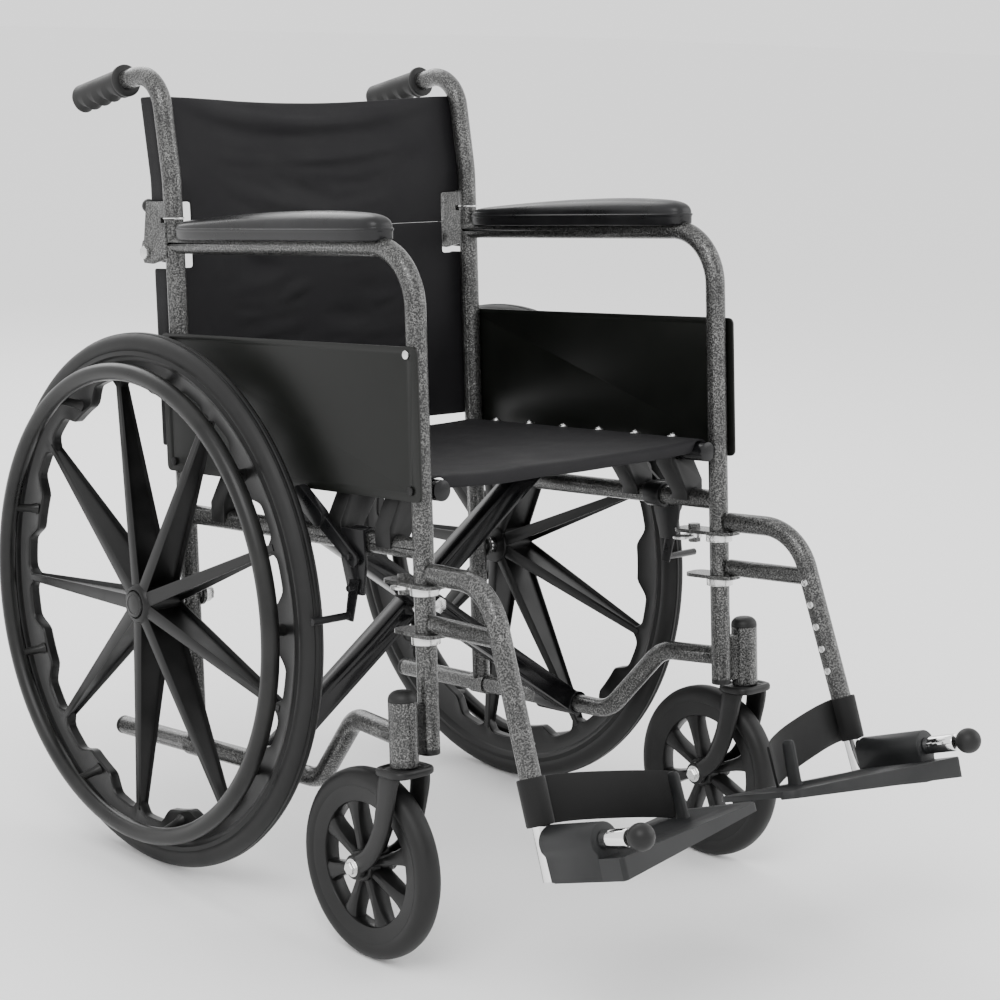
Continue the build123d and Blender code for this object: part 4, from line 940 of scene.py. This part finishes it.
for side, s in SIDES:
    flip = JOINT[f"footplate_flip_{side}"]
    pin = Vector(flip["axis"]) * -s
    middle = Vector(flip["pos_m"])
    start = middle - pin * PIN_MIDDLE
    level = Vector((0, 0, 1))
    inboard = pin.cross(level).normalized() * (1 if pin.cross(level).x * s < 0 else -1)
    above = inboard.cross(pin)
    above = above if above.z > 0 else -above
    level_in, level_up = inboard, above
    inboard = level_in * cos(ROLL_UP) + level_up * sin(ROLL_UP)
    above = level_up * cos(ROLL_UP) - level_in * sin(ROLL_UP)

    def at(along, out, up):
        """Place by the footplate's pin: along it, inboard and above it, in mm."""
        return start + (pin * along + inboard * out + above * up) * MM

    plate = Shape()
    rings = []
    columns = 106
    for step in range(columns + 1):
        t = step / columns
        out = -SIDE_OUT + (PLATE_IN + SIDE_OUT) * t
        rear_out = -SIDE_OUT + (PLATE_IN - END_SLANT + SIDE_OUT) * t
        front = FRONT_ALONG[0] + (FRONT_ALONG[1] - FRONT_ALONG[0]) * t
        rear = 13.5 if rear_out < 40 else 13.5 - 53.5 * (rear_out - 40) / 159.5
        edge = max(0.0, (t - 0.96) / 0.04) ** 2 + 0.3 * max(0.0, 1 - t / 0.02) ** 2
        front -= 12 * edge
        rear += 12 * edge
        deep = SKIRT_DEEP - 14.0 * t
        under = SKIRT_DEEP if out < -7.5 else 22.0
        rib = 0.9 if step % 3 == 1 and 24 < out < 205 else 0.0

        def row(portion, up):
            """Point across the plate at a height, from its rear edge to its front edge."""
            return at(rear + (front - rear) * portion, rear_out + (out - rear_out) * portion, up)

        skirt = SKIRT_WALL / (front - rear)
        ring = [row(0, -under + 0.8), row(0, -17.0), row(0.008, -16.0)]
        for k in range(1, 10):
            ring.append(row(0.008 + 0.984 * k / 10, -16.0 + (rib if 2 <= k <= 8 else 0.0)))
        ring += [row(0.992, -16.0), row(1, -17.0), row(1, -deep), row(1 - skirt, -deep),
                 row(1 - skirt * 1.2, -under)]
        ring.append(row(0.01, -under))
        rings.append(ring)
    plate.loft(rings)
    placed(f"ribbed_plate_{side}", plate, plate_plastic, 30, f"plate_{side}", "black_plastic",
           f"footplate_{side}")
    barrel = Shape()
    rings = []
    for along, grow in ((12, -2.0), (12.6, -0.6), (14, 0), (92.4, 0), (93.4, -0.6), (94, -2.0)):
        ring = []
        for k in range(24):
            turn = pi * k / 23
            ring.append(at(along, -(17 + grow) * cos(turn), (17 + grow) * sin(turn)))
        ring += [at(along, 16.4 + grow, -6), at(along, 14.5 + grow, -12), at(along, 14 + grow, -37),
                 at(along, 12 + grow, -38)]
        ring += [at(along, -10 - grow, -38), at(along, -12 - grow, -37), at(along, -12.5 - grow, -12),
                 at(along, -16.4 - grow, -6)]
        rings.append(ring)
    barrel.loft(rings)
    placed(f"plate_barrel_{side}", barrel, plate_plastic, 35, f"plate_{side}", "black_plastic")
    post = Shape()
    post_rings = []
    for rise, grow in ((-17, 1.15), (-10, 1.0), (27, 0.92), (30.5, 0.80), (32, 0.5)):
        post_rings.append([at(LOOP_POST[0] + 8 * grow * a, LOOP_POST[1] + 3.5 * grow * b, rise)
                           for a, b in superellipse(16, 3.0)])
    post.loft(post_rings)
    placed(f"loop_post_{side}", post, plate_plastic, 35, f"plate_{side}", "black_plastic")
    dressed(f"foot_tube_plated_{side}", f"foot_tube_{side}", chrome, f"foot_{side}", "bright_steel", 0.3)
    sleeve = Shape()
    sleeve.loft(disc_rings(at(94.8, 0, 0), pin,
                           [(7.0, 0), (9.2, 0.6), (9.4, 1.2), (9.4, 36), (8.6, 37.5), (5, 38)], 40))
    placed(f"pin_sleeve_{side}", sleeve, chrome, 35, f"knob_{side}", "bright_steel")
    ball = Shape()
    profile = [(5.0, 134.6)] + [(13.5 * sin(a), 148 - 13.5 * cos(a))
                                for a in [radians(d) for d in range(28, 180, 8)]]
    ball.loft(disc_rings(start, pin, profile + [(0.0, 161.4)], 40))
    placed(f"ball_end_{side}", ball, black_plastic, 50, f"knob_{side}", "black_plastic", f"pull_knob_{side}")
    dressed(f"swing_latch_{side}", f"hanger_latch_{side}", bright_steel, f"latch_{side}", "bright_steel", 0.4)

    # The loop: a strip of webbing wrapped round the footrest tube and run behind the heel to the post.
    slide = Vector(JOINT[f"footrest_length_{side}"]["axis"])
    tube_up = -slide
    tube_at = start + tube_up * (STRAP_LOW + STRAP_HALF) * MM
    side_way = Vector((s, 0, 0))
    side_way = (side_way - tube_up * side_way.dot(tube_up)).normalized()
    rear_way = tube_up.cross(side_way)
    rear_way = rear_way if rear_way.y > 0 else -rear_way
    plan = [(13.2 * cos(radians(a)), 13.2 * sin(radians(a)))
            for a in (170, 205, 240, 270, 300, 335, 10, 45, 75)]
    plan += [(-8, 13.6)]
    route = [tube_at + (side_way * a + rear_way * b) * MM for a, b in plan]
    end = at(14, 164, 6)
    rear_bow = Vector((0, 0.012, 0))
    route += [tube_at.lerp(end, 0.3) + rear_bow, tube_at.lerp(end, 0.65) + rear_bow,
              tube_at.lerp(end, 0.88) + rear_bow * 0.6, end]
    path = smooth_path(route, 6)
    inner = -side_way
    spots = [start + tube_up * (FIRST_STOP + STOP_STEP * k) * MM + inner * (TUBE_R + 0.1) * MM
             for k in range(LENGTH_STOPS)]
    stops = set_fixings(f"length_stops_{side}", spots, inner, stop, bright_steel)
    fitted(stops, f"hanger_{side}", "bright_steel")
    strap = Shape()
    rings = []
    for index, point in enumerate(path):
        t = index / (len(path) - 1)
        here = (path[min(index + 1, len(path) - 1)] - path[max(index - 1, 0)]).normalized()
        rise = tube_up.lerp(above, t).normalized()
        rise = (rise - here * rise.dot(here)).normalized()
        normal = here.cross(rise)
        half, thick = 23.5, 1.25
        outline = [(-half, 0.5), (-half + 1.5, 1), (0, 1.0), (half - 1.5, 1), (half, 0.5), (half, -0.5),
                   (half - 1.5, -1), (0, -1.0), (-half + 1.5, -1), (-half, -0.5)]
        rings.append([point + (rise * a + normal * b * thick) * MM for a, b in outline])
    strap.loft(rings)
    piece = made(f"heel_loop_{side}", strap, webbing, 60)
    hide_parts(f"heel_strap_{side}")
    length = sum((b - a).length for a, b in zip(path, path[1:]))
    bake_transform(piece)

# ==== Floor, light and camera ===========================================================================
# A pale floor under soft light from large panels, seen from the front right at standing height.
FLOOR = 60.0
floor_mesh = bpy.data.meshes.new("floor")
floor_mesh.from_pydata([(-FLOOR, -FLOOR, 0), (FLOOR, -FLOOR, 0), (FLOOR, FLOOR, 0), (-FLOOR, FLOOR, 0)], [],
                       [(0, 1, 2, 3)])
floor = bpy.data.objects.new("floor", floor_mesh)
bpy.context.scene.collection.objects.link(floor)
floor_paint, tree, bsdf = shader("pale_floor")
bsdf.inputs["Base Color"].default_value = (0.96, 0.96, 0.96, 1)
bsdf.inputs["Roughness"].default_value = 0.9
floor_mesh.materials.append(floor_paint)

world = bpy.data.worlds.new("studio")
bpy.context.scene.world = world
world.use_nodes = True
world.node_tree.nodes["Background"].inputs["Color"].default_value = (1, 1, 1, 1)
world.node_tree.nodes["Background"].inputs["Strength"].default_value = 1.5
for name, spot, aim, size, power in (("key", (-2.6, -1.6, 3.4), (0, 0, 0.5), 2.4, 90),
                                     ("fill", (3.2, -2.4, 2.2), (0, 0, 0.4), 2.6, 45),
                                     ("back", (0.6, 3.2, 2.8), (0, 0, 0.6), 2.8, 70)):
    light = bpy.data.lights.new(name, "AREA")
    light.size = size
    light.energy = power
    lamp = bpy.data.objects.new(name, light)
    bpy.context.scene.collection.objects.link(lamp)
    lamp.location = spot
    lamp.rotation_euler = (Vector(aim) - Vector(spot)).to_track_quat("-Z", "Y").to_euler()

YAW, PITCH, ROLL = radians(42.4765), radians(11.6748), radians(1.8064)
look = Vector((sin(YAW) * cos(PITCH), cos(YAW) * cos(PITCH), -sin(PITCH)))
right = Vector((cos(YAW), -sin(YAW), 0))
over = right.cross(look)
right, over = right * cos(ROLL) + over * sin(ROLL), over * cos(ROLL) - right * sin(ROLL)
camera_data = bpy.data.cameras.new("camera")
camera_data.sensor_width = 36.0
camera_data.lens = 85.80
camera = bpy.data.objects.new("camera", camera_data)
bpy.context.scene.collection.objects.link(camera)
camera.matrix_world = Matrix((right, over, -look)).transposed().to_4x4()
camera.location = Vector((-1.75498, HUB.y - 2.19666, 0.97654))
bpy.context.scene.camera = camera
